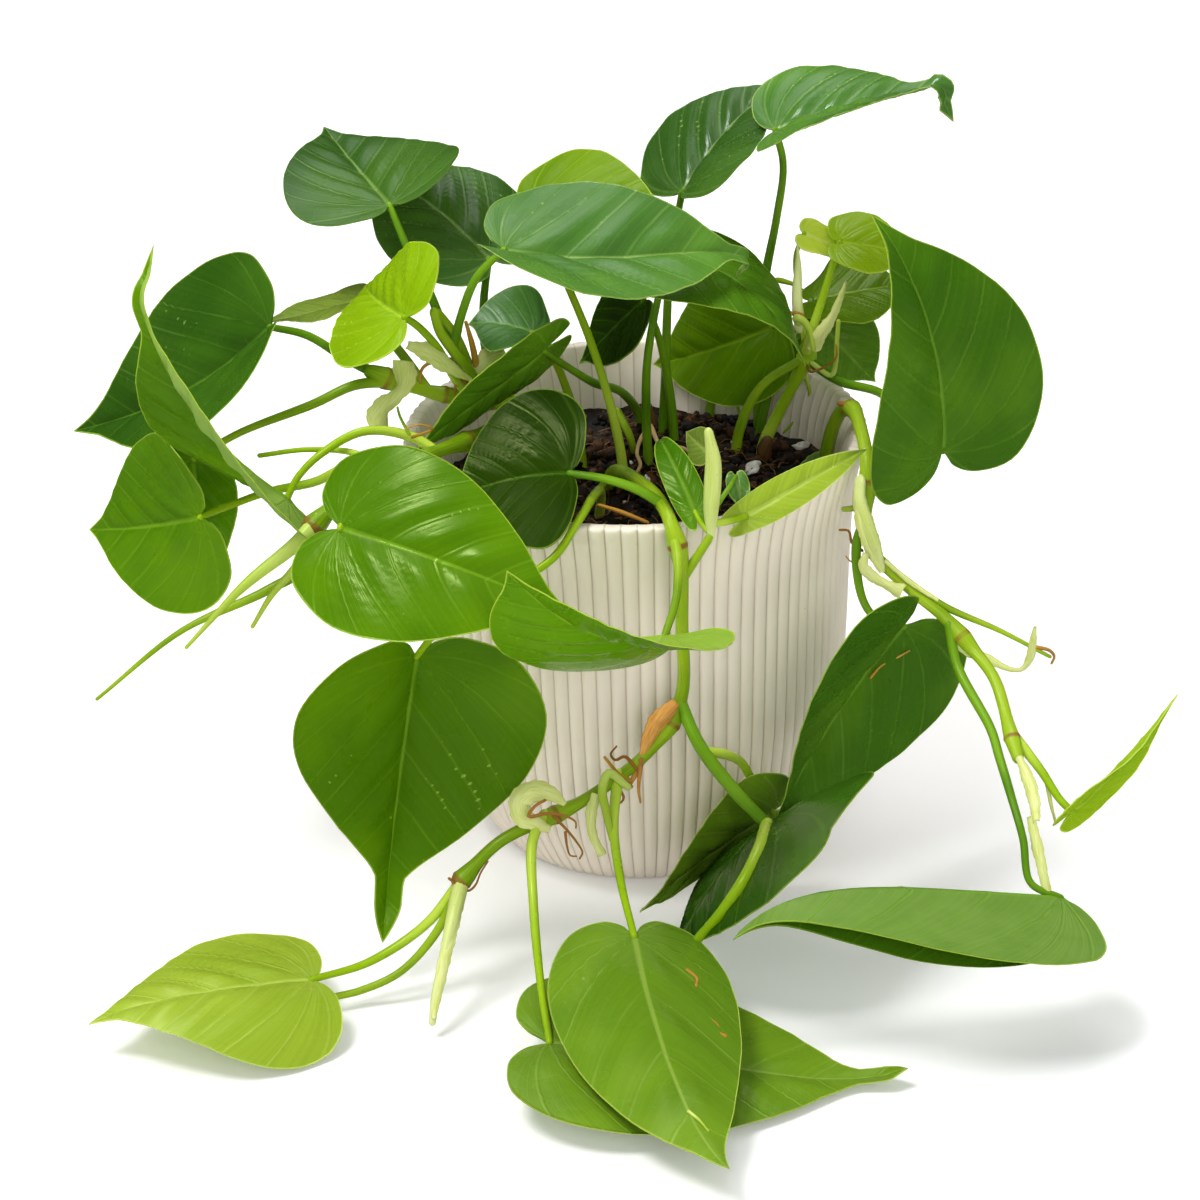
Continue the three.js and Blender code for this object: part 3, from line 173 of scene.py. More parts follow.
# Leaves: their stalk's points, where the blade starts and ends, its width and a look of LOOKS. radius
# lists the stalk's radii, far_look is the look of the blade's second half, in the order of fold and cup,
# and the rest is as in Blade, with angles in degrees.
LEAVES = {
    "top_left": dict(
        stalk=[(-58, 2, 171), (-64, 6, 184), (-69, 10, 197), (-76, 17, 210)],
        base=(-82, 25, 223), tip=(-107, 85, 229), width=63, roll=-20, arch=-5, curl=-5,
        fold=(16, 15), twist=25, lobe=0.8, look="slate",
    ),
    "top_left_behind": dict(
        stalk=[(-46, 14, 157), (-51, 18, 173), (-51, 22, 188)],
        base=(-49, 33, 199), tip=(-89, 73, 206), width=60, roll=-45, arch=25, curl=70, fold=(13, 2),
        cup=(13, 22), twist=-20, lobe=0.8, relief=(2.6, 1.0), look="slate",
    ),
    "centre": dict(
        stalk=[(-58, 2, 171), (-60, -5, 184), (-57, -12, 199), (-51, -22, 216)],
        base=(-42, -27, 227), tip=(38, -7, 214), width=66, roll=55, arch=-20, curl=45, sway=33,
        fold=(15, 25), cup=(12, 4), twist=35, lobe=0.75, tail=(0.1, 75, 0.1, 0), relief=(2.4, 1.2),
        look="grey",
    ),
    "centre_lime": dict(
        stalk=[(-4, 12, 112), (-5, 8, 135), (-9, 6, 158), (-15, 7, 180), (-25, 11, 206)],
        base=(-32, 15, 222), tip=(14, 3, 226), width=52, roll=45, curl=5, sway=-10,
        fold=(13, 12), lobe=1.1, look="dusk",
    ),
    "top_middle": dict(
        stalk=[(9, 44, 112), (11, 46, 145), (13, 48, 183), (16, 44, 206)],
        base=(18, 38, 220), tip=(55, 66, 248), width=57, roll=63, arch=15, curl=20, sway=-5,
        fold=(14, 15), cup=(15, 11), twist=20, lobe=0.5, relief=(2.8, 1.0), look="slate",
    ),
    "top_right": dict(
        stalk=[
            (43, 49, 112), (44, 52, 138), (44, 60, 155), (47, 68, 174), (51, 60, 200),
            (53, 43, 227),
        ],
        base=(50, 30, 245), tip=(103, 29, 260), width=58, roll=55, arch=25, curl=-20, fold=(16, 17),
        cup=(16, -8), twist=-15, lobe=0.8, tail=(0.3, 78, 0.16, 75), relief=(2.8, 1.0), look="grey",
    ),
    "centre_right": dict(
        stalk=[(5, 24, 112), (4, 16, 145), (5, 9, 172), (10, 10, 197)],
        base=(14, 9, 209), tip=(58, -23, 180), width=64, roll=52, arch=55, curl=15, fold=(4, -2),
        cup=(12, 18), twist=-40, look="rich",
    ),
    "behind_right": dict(
        stalk=[(26, 55, 112), (28, 59, 135), (37, 59, 151)],
        base=(50, 48, 165), tip=(7, 69, 142), lobe=0.5, width=48, roll=-5, arch=25, sway=-15,
        fold=(17, 12), cup=(10, 12), look="backlit",
    ),
    "behind_middle": dict(
        stalk=[(14, 40, 112), (13, 38, 140), (9, 33, 168)],
        base=(4, 26, 185), tip=(-19, 35, 158), width=43, roll=-55, arch=15, curl=-15, fold=(12, 9),
        look="shade",
    ),
    "olive": dict(
        stalk=[(60, 30, 160), (60, 38, 160), (61, 47, 165)],
        base=(63, 58, 170), tip=(97, 61, 174), width=52, roll=65, arch=15, sway=20, fold=(4, 14),
        cup=(18, 8), twist=40, look="backlit",
    ),
    "olive_lime": dict(
        stalk=[(60, 30, 161), (61, 26, 169), (66, 29, 184)],
        base=(72, 38, 200), tip=(100, 40, 192), width=30, roll=45, arch=25, look="lime",
    ),
    "pale_small": dict(
        stalk=[(60, 30, 163), (58, 38, 180), (57, 41, 194)],
        radius=(1.2, 0.8), base=(60, 42, 202), tip=(76, 42, 193), width=14, roll=30, look="young",
    ),
    "behind_rim": dict(
        stalk=[(42, 44, 112), (46, 46, 135), (54, 51, 156)],
        base=(66, 57, 162), tip=(86, 65, 135), width=32, roll=-20, look="rich",
    ),
    "right": dict(
        stalk=[(60, 30, 160), (71, 22, 155), (85, 8, 156), (96, -10, 151)],
        base=(104, -25, 149), tip=(80, -24, 235), width=79, roll=-33, arch=32, curl=25, sway=10,
        fold=(13, 20), cup=(20, 6), twist=28, lobe=0.9, look="rich",
    ),
    "rim_lime": dict(
        stalk=[(25, -84, 152), (31, -80, 151)],
        radius=(1.4, 1), base=(36, -75, 150), tip=(78, -37, 156), width=13, roll=5, arch=35,
        curl=20, look="pale",
    ),
    "left": dict(
        stalk=[(-84, -10, 174), (-97, -7, 180), (-110, -9, 190)],
        base=(-122, -15, 196), tip=(-193, 3, 151), width=76, roll=-43, arch=-30, sway=-15,
        fold=(29, 23), cup=(8, 14), twist=-10, lobe=0.8, look="deep",
    ),
    "left_folded": dict(
        stalk=[
            (-66, -49, 164), (-75, -47, 169), (-90, -51, 173), (-104, -57, 168), (-112, -60, 161),
        ],
        base=(-116, -62, 154), tip=(-157, -87, 234), tail=(0.22, 30, 0.1, 0), width=63, roll=60,
        arch=35, curl=5, sway=5, fold=(1, 39), cup=(18, 18), twist=25, far_look="under_leafy",
        look="leafy",
    ),
    "left_low": dict(
        stalk=[
            (-84, -66, 164), (-96, -54, 161), (-108, -45, 152), (-124, -39, 146), (-137, -43, 143),
        ],
        base=(-146, -51, 143), tip=(-188, -15, 122), width=62, roll=13, arch=0, sway=-10,
        fold=(11, 11), cup=(15, 14), twist=30, look="leafy",
    ),
    "left_narrow": dict(
        stalk=[(-80, -9, 172), (-94, -15, 174), (-109, -17, 168), (-134, -19, 159)],
        base=(-150, -20, 150), tip=(-143, -27, 108), width=32, roll=-25, arch=25, fold=(15, 12),
        look="fresh",
    ),
    "left_edge_on": dict(
        stalk=[(-70, -6, 167), (-78, 2, 176), (-87, 12, 184)],
        base=(-94, 18, 191), tip=(-127, 17, 184), width=30, roll=-75, arch=-10, twist=-10,
        look="olive",
    ),
    "left_crumpled": dict(
        stalk=[(-56, -4, 163), (-61, -12, 175), (-66, -17, 188), (-72, -22, 198)],
        base=(-76, -26, 203), tip=(-91, 14, 198), width=51, roll=0, arch=30, curl=-10, sway=-15,
        fold=(14, 12), cup=(9, 11), lobe=1.3, relief=(3.2, 1.6), look="lime",
    ),
    "diagonal": dict(
        stalk=[(3, 52, 112), (2, 52, 128), (-4, 36, 146), (-14, 14, 160), (-24, -6, 176)],
        base=(-30, -20, 187), tip=(-74, -44, 161), width=32, roll=65, arch=10, curl=-20,
        fold=(0, 5), cup=(20, 12), twist=10, lobe=1.5, look="glow",
    ),
    "blue_small": dict(
        stalk=[(-18, 24, 112), (-20, 20, 140), (-25, 12, 164), (-30, 5, 178)],
        base=(-34, -2, 186), tip=(-56, 4, 187), width=39, roll=-65, arch=30, curl=10, fold=(15, 13),
        twist=-40, look="blue",
    ),
    "front_upper": dict(
        stalk=[(8, -72, 154), (1, -70, 158), (-10, -67, 161)],
        base=(-22, -64, 162), tip=(-62, -61, 152), width=62, roll=-35, arch=15, curl=-5, sway=20,
        fold=(13, 14), twist=-5, lobe=0.75, look="shade",
    ),
    "front_lower": dict(
        stalk=[(-84, -66, 164), (-89, -78, 166), (-94, -92, 165)],
        base=(-96, -104, 163), tip=(-22, -128, 142), width=64, roll=12, arch=35, curl=10,
        fold=(6, 5), twist=-5, look="leafy",
    ),
    "front_centre": dict(
        stalk=[(12, -86, 148), (13, -98, 145), (12, -111, 138)],
        base=(8, -122, 130), tip=(-41, -163, 175), width=79, roll=62, arch=53, curl=-30, sway=-35,
        fold=(12, 15), cup=(14, 4), twist=-20, look="fresh",
    ),
    "hanging_left": dict(
        stalk=[
            (-14, -8, 112), (-12, -30, 138), (-14, -58, 151), (-20, -80, 151), (-28, -89, 143),
            (-53, -93, 129), (-68, -92, 117),
        ],
        base=(-74, -89, 108), tip=(-87, -110, 26), tail=(0.15, 0, 0.12, 0), width=92, roll=12,
        arch=-40, curl=-5, sway=-5, fold=(19, 36), cup=(6, 16), twist=5, look="leafy",
    ),
    "floor_left": dict(
        stalk=[(-61, -116, 38), (-73, -120, 24), (-92, -127, 14)],
        base=(-111, -138, 14), tip=(-183, -160, 12), width=72, roll=-63, arch=10, curl=15,
        fold=(0, 4), cup=(47, 11), twist=13, lobe=0.6, look="pale",
    ),
    "floor_centre": dict(
        stalk=[(-8, -94, 65), (-10, -108, 54), (-8, -128, 43)],
        base=(-4, -150, 35), tip=(24, -262, 17), width=63, roll=25, arch=25, curl=-45, sway=18,
        fold=(-9, -13), cup=(14, 13), lobe=0.7, look="meadow",
    ),
    "floor_right": dict(
        stalk=[(-33, -106, 57), (-37, -116, 52), (-37, -132, 39), (-35, -158, 25)],
        base=(-32, -181, 14), tip=(76, -189, 4), tail=(0.07, -5, 0.1, 0), width=87, roll=63,
        curl=-40, fold=(6, 6), cup=(9, 17), lobe=0.8, look="meadow",
    ),
    "hanging_right": dict(
        stalk=[(77, -38, 130), (74, -41, 122), (75, -46, 107), (78, -52, 102), (83, -57, 100)],
        base=(89, -59, 100), tip=(44, -92, 44), width=82, roll=50, arch=-20, fold=(19, 24),
        cup=(22, 8), look="rich",
    ),
    "low_underside": dict(
        stalk=[(13, -81, 85), (19, -91, 74), (30, -101, 62)],
        radius=(2.2, 2.2), base=(41, -106, 51), tip=(9, -131, 15), width=97, roll=-70, arch=45,
        curl=-5, sway=-25, fold=(7, -16), cup=(17, 12), twist=-15, lobe=3.6, look="deep",
    ),
    "low_dark": dict(
        stalk=[(21, -93, 72), (27, -89, 69), (33, -82, 62), (38, -77, 50)],
        base=(44, -74, 38), tip=(-2, -114, 23), width=48, roll=55, arch=-20, sway=-15, fold=(-3, 4),
        cup=(20, 21), twist=-10, look="meadow",
    ),
    "low_folded": dict(
        stalk=[
            (104, -64, 103), (106, -72, 92), (116, -95, 79), (118, -104, 74), (121, -120, 67),
            (124, -132, 58), (126, -140, 46),
        ],
        base=(136, -140, 40), tip=(28, -166, 42), width=77, roll=109, arch=0, curl=-65, sway=14,
        fold=(135, 20), cup=(-9, 12), twist=5, lobe=0.5, slim=(1, 0), relief=(0.6, 0.3),
        look="rich",
    ),
    "low_young": dict(
        stalk=[(122, -98, 80), (127, -103, 75), (132, -109, 70), (137, -116, 64)],
        base=(141, -120, 61), tip=(176, -109, 98), width=15, roll=-50, arch=15, twist=25,
        fold=(25, 22), look="lime",
    ),
    "rim_dark": dict(
        stalk=[(24, -86, 149), (21, -86, 153)],
        radius=(1, 0.8), base=(19, -83, 156), tip=(9, -46, 164), width=12, roll=0, arch=50, curl=50,
        sway=10, look="mid",
    ),
    "rim_small": dict(
        stalk=[(25, -83, 156), (30, -75, 160)],
        radius=(0.9, 0.7), base=(33, -65, 160), tip=(35, -72, 150), width=8, roll=10, look="grey",
    ),
    "rim_round": dict(
        stalk=[(25, -83, 160), (27, -72, 162), (26, -65, 165)],
        radius=(1, 0.8), base=(24, -60, 167), tip=(17, -48, 169), width=13, roll=24, look="olive",
    ),
}

# Sheaths that are pieces of their own. DETAILS says what each is made of.
SHEATHS = [
    "sheath_right_top", "sheath_right_low", "sheath_back_right", "sheath_back_right_low",
    "sheath_left_hood", "sheath_left_middle", "sheath_left_back", "sheath_front",
    "sheath_front_dry",
]


def hexed(text):
    """Linear colour of an sRGB one written as RRGGBB."""
    levels = [int(text[i : i + 2], 16) / 255 for i in (0, 2, 4)]
    return tuple(c / 12.92 if c < 0.04045 else ((c + 0.055) / 1.055) ** 2.4 for c in levels) + (1,)


# Colours of a blade: upper side, its darker patches, underside, veins, and the margin, whose lighter line
# is a painted highlight
LOOKS = {
    "grey": ("5a8a2c", "447228", "7a9a48", "8cae50", "98b650"),
    "slate": ("42691e", "305618", "6c8c42", "7a9c44", "64902c"),
    "deep": ("3a6412", "284e0c", "64863a", "5e8a26", "96b43c"),
    "rich": ("4a7610", "38640c", "6c8e3a", "6c982a", "98b63c"),
    "shade": ("263f06", "1a3004", "4a6a20", "40640e", "7c9c30"),
    "glow": ("5c8a14", "467210", "7a9a34", "74a024", "a0bc3c"),
    "mid": ("508008", "3e6c08", "86a44a", "749c2e", "a0bc3e"),
    "leafy": ("568202", "467202", "8cae4a", "74a01e", "a0bc3a"),
    "meadow": ("70941e", "5e8418", "8ca444", "94ae48", "b0c450"),
    "fresh": ("5e9006", "4e8204", "8aaa34", "8ab42e", "b4cc48"),
    "olive": ("7c9234", "6a822a", "909e52", "98aa50", "aabc60"),
    "dusk": ("6a8c06", "5a7e04", "86a41c", "90b024", "b0c844"),
    "lime": ("8eb204", "7ea402", "98b824", "a8c830", "c0d84c"),
    "pale": ("9cb434", "8ea82a", "aac044", "bad060", "c8da70"),
    "young": ("c0d63c", "b2ca34", "c4d654", "d2e070", "dae680"),
    "blue": ("426e2c", "305a26", "6e8e48", "749c4c", "98b65a"),
    "backlit": ("5d8104", "4c7202", "6c8c22", "7c9e1c", "98b434"),
}
# How much a blade's upper side shines, where that isn't the common gloss, and the tint of its sheen
GLOSS = {"grey": 0.65, "slate": 0.65, "blue": 0.55, "shade": 0.15, "lime": 0.5, "young": 0.3}
COMMON_GLOSS, UNDER_GLOSS = 0.4, 0.2
GREEN_SHINE, WHITE_SHINE = (0.85, 1, 0.4, 1), (0.92, 1, 0.95, 1)
BLUISH = ("grey", "slate", "blue")  # the looks with a white sheen


# Shader helpers

def node(tree, kind, inputs=None, **settings):
    """Adds a shader node. An input given as a socket is linked, and any other value is set."""
    made = tree.nodes.new("ShaderNode" + kind)
    for name, value in settings.items():
        setattr(made, name, value)
    for key, value in (inputs or {}).items():
        if isinstance(value, bpy.types.NodeSocket):
            tree.links.new(value, made.inputs[key])
        else:
            made.inputs[key].default_value = value
    return made.outputs


def maths(tree, operation, *values):
    return node(tree, "Math", dict(enumerate(values)), operation=operation)[0]


def times(tree, *values):
    return maths(tree, "MULTIPLY", *values)


def plus(tree, *values):
    return maths(tree, "ADD", *values)


def fade(tree, value, start, end, low=0.0, high=1.0):
    """Goes smoothly from low where value is start to high where it is end."""
    values = {"Value": value, "From Min": start, "From Max": end, "To Min": low, "To Max": high}
    return node(tree, "MapRange", values, interpolation_type="SMOOTHSTEP")[0]


def mix(tree, share, low, high, how="MIX"):
    made = node(tree, "Mix", {0: share}, data_type="RGBA", blend_type=how)
    mixer = made[2].node
    for key, value in ((6, low), (7, high)):
        if isinstance(value, bpy.types.NodeSocket):
            tree.links.new(value, mixer.inputs[key])
        else:
            mixer.inputs[key].default_value = value
    return made[2]


def pair(tree, name):
    """The two numbers that a mesh keeps in the map called name."""
    uv = node(tree, "UVMap", uv_map=name)[0]
    parts = node(tree, "SeparateXYZ", {0: uv})
    return parts[0], parts[1]


def patches(tree, scale, detail=3.0):
    """Cloudy noise from 0 to 1 over the object."""
    place = node(tree, "TexCoord")["Object"]
    return node(tree, "TexNoise", {"Vector": place, "Scale": scale, "Detail": detail})[0]


def material(name, paint):
    """A material. paint(tree, shader) gives it its colour and shine, and returns the height of its fine
    relief and how many mm deep that is."""
    made = bpy.data.materials.new(name)
    made.use_nodes = True
    tree = made.node_tree
    shader = tree.nodes["Principled BSDF"]
    height, depth = paint(tree, shader)
    bump = node(tree, "Bump", {"Height": height, "Strength": 1.0, "Distance": depth * MM})
    tree.links.new(bump[0], shader.inputs["Normal"])
    return made


def set_all(shader, **values):
    for name, value in values.items():
        shader.inputs[name.replace("_", " ")].default_value = value


NERVES = 5.0  # fine nerves from one side vein to the next
# Lines on a blade: mm from the middle at which they start to show, and at which they are full
VEIN_LINE, NERVE_LINE, RIB_LINE, RIM_HIGHLIGHT_LINE = (0.75, 0.1), (0.3, 0.05), (1.1, 0.3), (0.6, 0.2)
UPPER_SHEEN, UNDER_SHEEN = (0.22, 0.34), (0.42, 0.55)  # roughness, from and to
UPPER_VEINS, UNDER_VEINS = (0.08, 0.26), (0.3, 0.5)  # how strongly side veins show, from and to


def line_distance(tree, label, spacing):
    """How far, in mm, a spot is from the nearest of the lines where label is whole, spacing mm apart."""
    middle = maths(tree, "ABSOLUTE", maths(tree, "SUBTRACT", maths(tree, "FRACT", label), 0.5))
    return times(tree, maths(tree, "SUBTRACT", 0.5, middle), spacing)


def blade_material(name, look, under=False):
    """Leaf skin: light midrib and side veins, a painted highlight along the margin, fine nerves between
    them, and mottling.
    """
    upper, dark, below, vein, margin = (hexed(c) for c in LOOKS[look])

    def paint(tree, shader):
        label, spacing = pair(tree, "vein")
        midrib, edge = pair(tree, "edge")
        waver = times(tree, maths(tree, "SUBTRACT", patches(tree, 55.0, 1.0), 0.5), 0.12)
        label = plus(tree, label, waver)
        lateral = fade(tree, line_distance(tree, label, spacing), *VEIN_LINE)
        fine = times(tree, label, NERVES)
        apart = maths(tree, "DIVIDE", spacing, NERVES)
        nerve = fade(tree, line_distance(tree, fine, apart), *NERVE_LINE)
        rib = fade(tree, midrib, *RIB_LINE)
        rim = fade(tree, edge, *RIM_HIGHLIGHT_LINE)
        along = node(tree, "CombineXYZ", {0: times(tree, label, 9.0), 1: 0.0, 2: 0.0})[0]
        place = node(tree, "TexCoord")["Object"]
        drift = node(tree, "VectorMath", {0: along, 1: place}, operation="ADD")[0]
        streak = node(tree, "TexNoise", {"Vector": drift, "Scale": 1.6, "Detail": 2.0})[0]
        mottle = patches(tree, 70.0, 3.0)
        broad = patches(tree, 20.0, 2.0)
        grain = patches(tree, 900.0, 2.0)
        if under:
            colour = mix(tree, fade(tree, mottle, 0.3, 0.75, 0, 0.35), below, upper)
        else:
            colour = mix(tree, fade(tree, broad, 0.38, 0.62), upper, dark)
            colour = mix(tree, fade(tree, mottle, 0.3, 0.75, 0, 0.25), colour, dark)
        light = fade(tree, streak, 0.3, 0.75, 0.95, 1.05)
        tone = node(tree, "CombineColor", {0: light, 1: light, 2: light})[0]
        colour = mix(tree, 1.0, colour, tone, "MULTIPLY")
        colour = mix(tree, times(tree, nerve, 0.16 if under else 0.05), colour, vein)
        strength = fade(tree, mottle, 0.3, 0.7, *(UNDER_VEINS if under else UPPER_VEINS))
        colour = mix(tree, times(tree, lateral, strength), colour, vein)
        colour = mix(tree, times(tree, rib, 0.8 if under else 0.6), colour, vein)
        # Painted highlight: a lighter line along the blade's margin
        colour = mix(tree, times(tree, rim, 0.8), colour, margin)
        specks = node(tree, "TexVoronoi", {"Vector": place, "Scale": 95.0})
        chosen = fade(tree, node(tree, "SeparateColor", {0: specks["Color"]})[0], 0.86, 0.9)
        spot = times(tree, fade(tree, specks["Distance"], 0.055, 0.03), chosen)
        colour = mix(tree, times(tree, spot, 0.6), colour, margin)
        tree.links.new(colour, shader.inputs["Base Color"])
        sheen = UNDER_SHEEN if under else UPPER_SHEEN
        tree.links.new(fade(tree, mottle, 0.2, 0.8, *sheen), shader.inputs["Roughness"])
        shine = UNDER_GLOSS if under else GLOSS.get(look, COMMON_GLOSS)
        tint = WHITE_SHINE if look in BLUISH else GREEN_SHINE
        set_all(shader, Specular_IOR_Level=shine, Specular_Tint=tint)
        ridge = times(tree, lateral, 0.5 if under else -0.3)
        ridge = plus(tree, ridge, times(tree, nerve, 0.12 if under else -0.05))
        relief = plus(tree, ridge, times(tree, streak, 0.25))
        relief = plus(tree, relief, times(tree, grain, 0.06))
        return relief, 0.3

    return material(name, paint)


SCAR_LINE = (1.3, 0.4)  # mm from a node at which its brown ring starts to show, and is full


def stem_material(name, main, light, ring, rough=0.26):
    """Stem skin: fine lines along it, pale and dark stretches, and brown rings at its nodes."""
    main, light, ring = hexed(main), hexed(light), hexed(ring)

    def paint(tree, shader):
        set_all(shader, Specular_IOR_Level=0.5, Specular_Tint=(0.9, 1, 0.6, 1))
        along, around = pair(tree, "flat")
        away = pair(tree, "edge")[0]
        lines = node(tree, "CombineXYZ", {0: times(tree, along, 0.03), 1: around, 2: 0.0})[0]
        fibre = node(tree, "TexNoise", {"Vector": lines, "Scale": 2.2, "Detail": 3.0})[0]
        mottle = patches(tree, 90.0, 3.0)
        stretch = patches(tree, 28.0, 2.0)
        colour = mix(tree, fade(tree, stretch, 0.35, 0.65), main, light)
        colour = mix(tree, fade(tree, fibre, 0.35, 0.75, 0, 0.45), colour, light)
        colour = mix(tree, fade(tree, mottle, 0.6, 0.8, 0, 0.3), colour, main)
        worn = fade(tree, mottle, 0.35, 0.55, 0.4, 1.0)
        scar = times(tree, fade(tree, away, *SCAR_LINE), worn)
        colour = mix(tree, scar, colour, ring)
        specks = node(tree, "TexVoronoi", {"Vector": node(tree, "TexCoord")["Object"], "Scale": 420.0})
        spot = fade(tree, specks["Distance"], 0.16, 0.08, 0, 0.35)
        colour = mix(tree, spot, colour, ring)
        tree.links.new(colour, shader.inputs["Base Color"])
        tree.links.new(fade(tree, fibre, 0.3, 0.7, rough, rough + 0.12), shader.inputs["Roughness"])
        relief = plus(tree, fibre, times(tree, mottle, 0.3))
        return relief, 0.15

    return material(name, paint)


def sheath_material(name, main, light, dark, rough=0.5, dried=False):
    """Papery sheath: fibres from base to tip, paler or dry patches, a darker margin."""
    main, light, dark = hexed(main), hexed(light), hexed(dark)

    def paint(tree, shader):
        along, across = pair(tree, "flat")
        edge = pair(tree, "edge")[1]
        lines = node(tree, "CombineXYZ", {0: times(tree, along, 0.06), 1: across, 2: 0.0})[0]
        fibre = node(tree, "TexNoise", {"Vector": lines, "Scale": 3.0, "Detail": 3.0})[0]
        mottle = patches(tree, 110.0, 3.0)
        colour = mix(tree, fade(tree, fibre, 0.3, 0.7), main, light)
        colour = mix(tree, fade(tree, mottle, 0.45, 0.75, 0, 0.6), colour, dark if dried else light)
        colour = mix(tree, fade(tree, edge, 0.5, 0.1, 0, 0.5), colour, dark)
        tree.links.new(colour, shader.inputs["Base Color"])
        tree.links.new(fade(tree, mottle, 0.3, 0.7, rough - 0.06, rough + 0.1), shader.inputs["Roughness"])
        return plus(tree, fibre, times(tree, mottle, 0.5)), 0.15

    return material(name, paint)


def pot_paint(tree, shader):
    """Ivory glaze, with dust and painted shade in the grooves, faint clouding and pin-holes."""
    depth, height = pair(tree, "edge")
    cloud = patches(tree, 18.0, 3.0)
    fine = patches(tree, 600.0, 2.0)
    dust_and_shade = patches(tree, 45.0, 4.0)
    colour = mix(tree, fade(tree, cloud, 0.35, 0.65), hexed("f8ecdc"), hexed("f0e3d3"))
    # Painted shade and dust: the grooves are darkened towards a greyish brown, patchily
    shade = times(tree, fade(tree, depth, 0.5, 1.0), fade(tree, dust_and_shade, 0.3, 0.7, 0.3, 0.6))
    colour = mix(tree, shade, colour, hexed("a0957a"))
    stain = times(tree, fade(tree, height, 132, 148), fade(tree, dust_and_shade, 0.55, 0.8, 0, 0.4))
    colour = mix(tree, stain, colour, hexed("a58e6c"))
    pits = node(tree, "TexVoronoi", {"Vector": node(tree, "TexCoord")["Object"], "Scale": 160.0})
    chosen = fade(tree, node(tree, "SeparateColor", {0: pits["Color"]})[0], 0.93, 0.95)
    pit = times(tree, fade(tree, pits["Distance"], 0.06, 0.03), chosen)
    colour = mix(tree, times(tree, pit, 0.6), colour, hexed("8d836b"))
    tree.links.new(colour, shader.inputs["Base Color"])
    tree.links.new(fade(tree, cloud, 0.3, 0.7, 0.42, 0.54), shader.inputs["Roughness"])
    return plus(tree, times(tree, fine, 0.5), cloud), 0.12


def peat_paint(dark, light, rust):
    """Damp peat or bark: a cloudy mix of two browns, with some crumbs of a third."""
    dark, light, rust = hexed(dark), hexed(light), hexed(rust)

    def paint(tree, shader):
        crumb = node(tree, "TexVoronoi", {"Vector": node(tree, "TexCoord")["Object"], "Scale": 330.0})
        shade = node(tree, "SeparateColor", {0: crumb["Color"]})[0]
        mottle = patches(tree, 140.0, 5.0)
        colour = mix(tree, fade(tree, mottle, 0.38, 0.72), dark, light)
        colour = mix(tree, fade(tree, shade, 0.84, 0.96, 0, 0.7), colour, rust)
        tree.links.new(colour, shader.inputs["Base Color"])
        tree.links.new(fade(tree, mottle, 0.3, 0.7, 0.75, 0.95), shader.inputs["Roughness"])
        set_all(shader, Specular_IOR_Level=0.3)
        grain = patches(tree, 1400.0, 3.0)
        return plus(tree, grain, crumb["Distance"]), 0.5

    return paint


def perlite_paint(tree, shader):
    """White expanded glass grains, pitted and a little stained."""
    pits = patches(tree, 1100.0, 3.0)
    stain = patches(tree, 260.0, 3.0)
    colour = mix(tree, fade(tree, stain, 0.5, 0.75, 0, 0.6), hexed("e4e1da"), hexed("8f7a62"))
    tree.links.new(colour, shader.inputs["Base Color"])
    set_all(shader, Roughness=0.8)
    return pits, 0.4


# Mesh helpers

def floats(points):
    """Each point as a float array of x, y, z."""
    return np.asarray(points, float)


def quads(index):
    """Faces of a grid of point numbers. A corner that repeats its neighbour is dropped."""
    faces = []
    for low, high in zip(index, index[1:]):
        for a, b, c, d in zip(low, low[1:], high[1:], high):
            face = list(dict.fromkeys((a, b, c, d)))
            if len(face) > 2:
                faces.append(face)
    return faces


class Soup:
    """Gathers the closed bodies of one piece. maps holds pairs of numbers that materials read."""

    NAMES = ("vein", "edge", "flat")

    def __init__(self):
        self.points, self.faces, self.skins = [], [], []
        self.maps = {name: [] for name in self.NAMES}
        self.count = 0

    def add(self, points, faces, skin, **maps):
        """skin is a word of MATERIALS, or one such word for each face."""
        self.points.append(floats(points))
        self.faces += [[k + self.count for k in face] for face in faces]
        self.skins += [skin] * len(faces) if isinstance(skin, str) else list(skin)
        for name in self.NAMES:
            self.maps[name].append(floats(maps.get(name, np.zeros((len(points), 2)))))
        self.count += len(points)

    def piece(self, name, slot, *nodes):
        mesh = bpy.data.meshes.new(name)
        points = np.concatenate(self.points) * MM
        mesh.from_pydata(points.tolist(), [], self.faces)
        words = list(dict.fromkeys(self.skins))
        for word in words:
            mesh.materials.append(MATERIALS[word])
        mesh.polygons.foreach_set("material_index", [words.index(word) for word in self.skins])
        mesh.polygons.foreach_set("use_smooth", np.ones(len(mesh.polygons), bool))
        corners = np.zeros(len(mesh.loops), np.int32)
        mesh.loops.foreach_get("vertex_index", corners)
        for key in self.NAMES:
            values = np.concatenate(self.maps[key])[corners].astype(np.float32)
            mesh.uv_layers.new(name=key).uv.foreach_set("vector", values.ravel())
        mesh.update()
        made = bpy.data.objects.new(name, mesh)
        bpy.context.scene.collection.objects.link(made)
        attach(made, "root")
        if nodes:
            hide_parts(*nodes)


def spline(points, per_span=24):
    """A smooth line through the points, centripetal, as dense points."""
    p = floats(points)
    p = np.vstack([2 * p[0] - p[1], p, 2 * p[-1] - p[-2]])
    u = np.linspace(0, 1, per_span + 1)[:, None]
    runs = []
    for a, b, c, d in zip(p, p[1:], p[2:], p[3:]):
        ab, bc, cd = (math.sqrt(np.linalg.norm(q)) for q in (b - a, c - b, d - c))
        at_b = (b - a) / ab * bc - (c - a) / (ab + bc) * bc + (c - b)
        at_c = (c - b) - (d - b) / (bc + cd) * bc + (d - c) / cd * bc
        run = b + at_b * u + (3 * (c - b) - 2 * at_b - at_c) * u**2 + (2 * (b - c) + at_b + at_c) * u**3
        runs.append(run if len(runs) == len(p) - 4 else run[:-1])
    return np.vstack(runs)


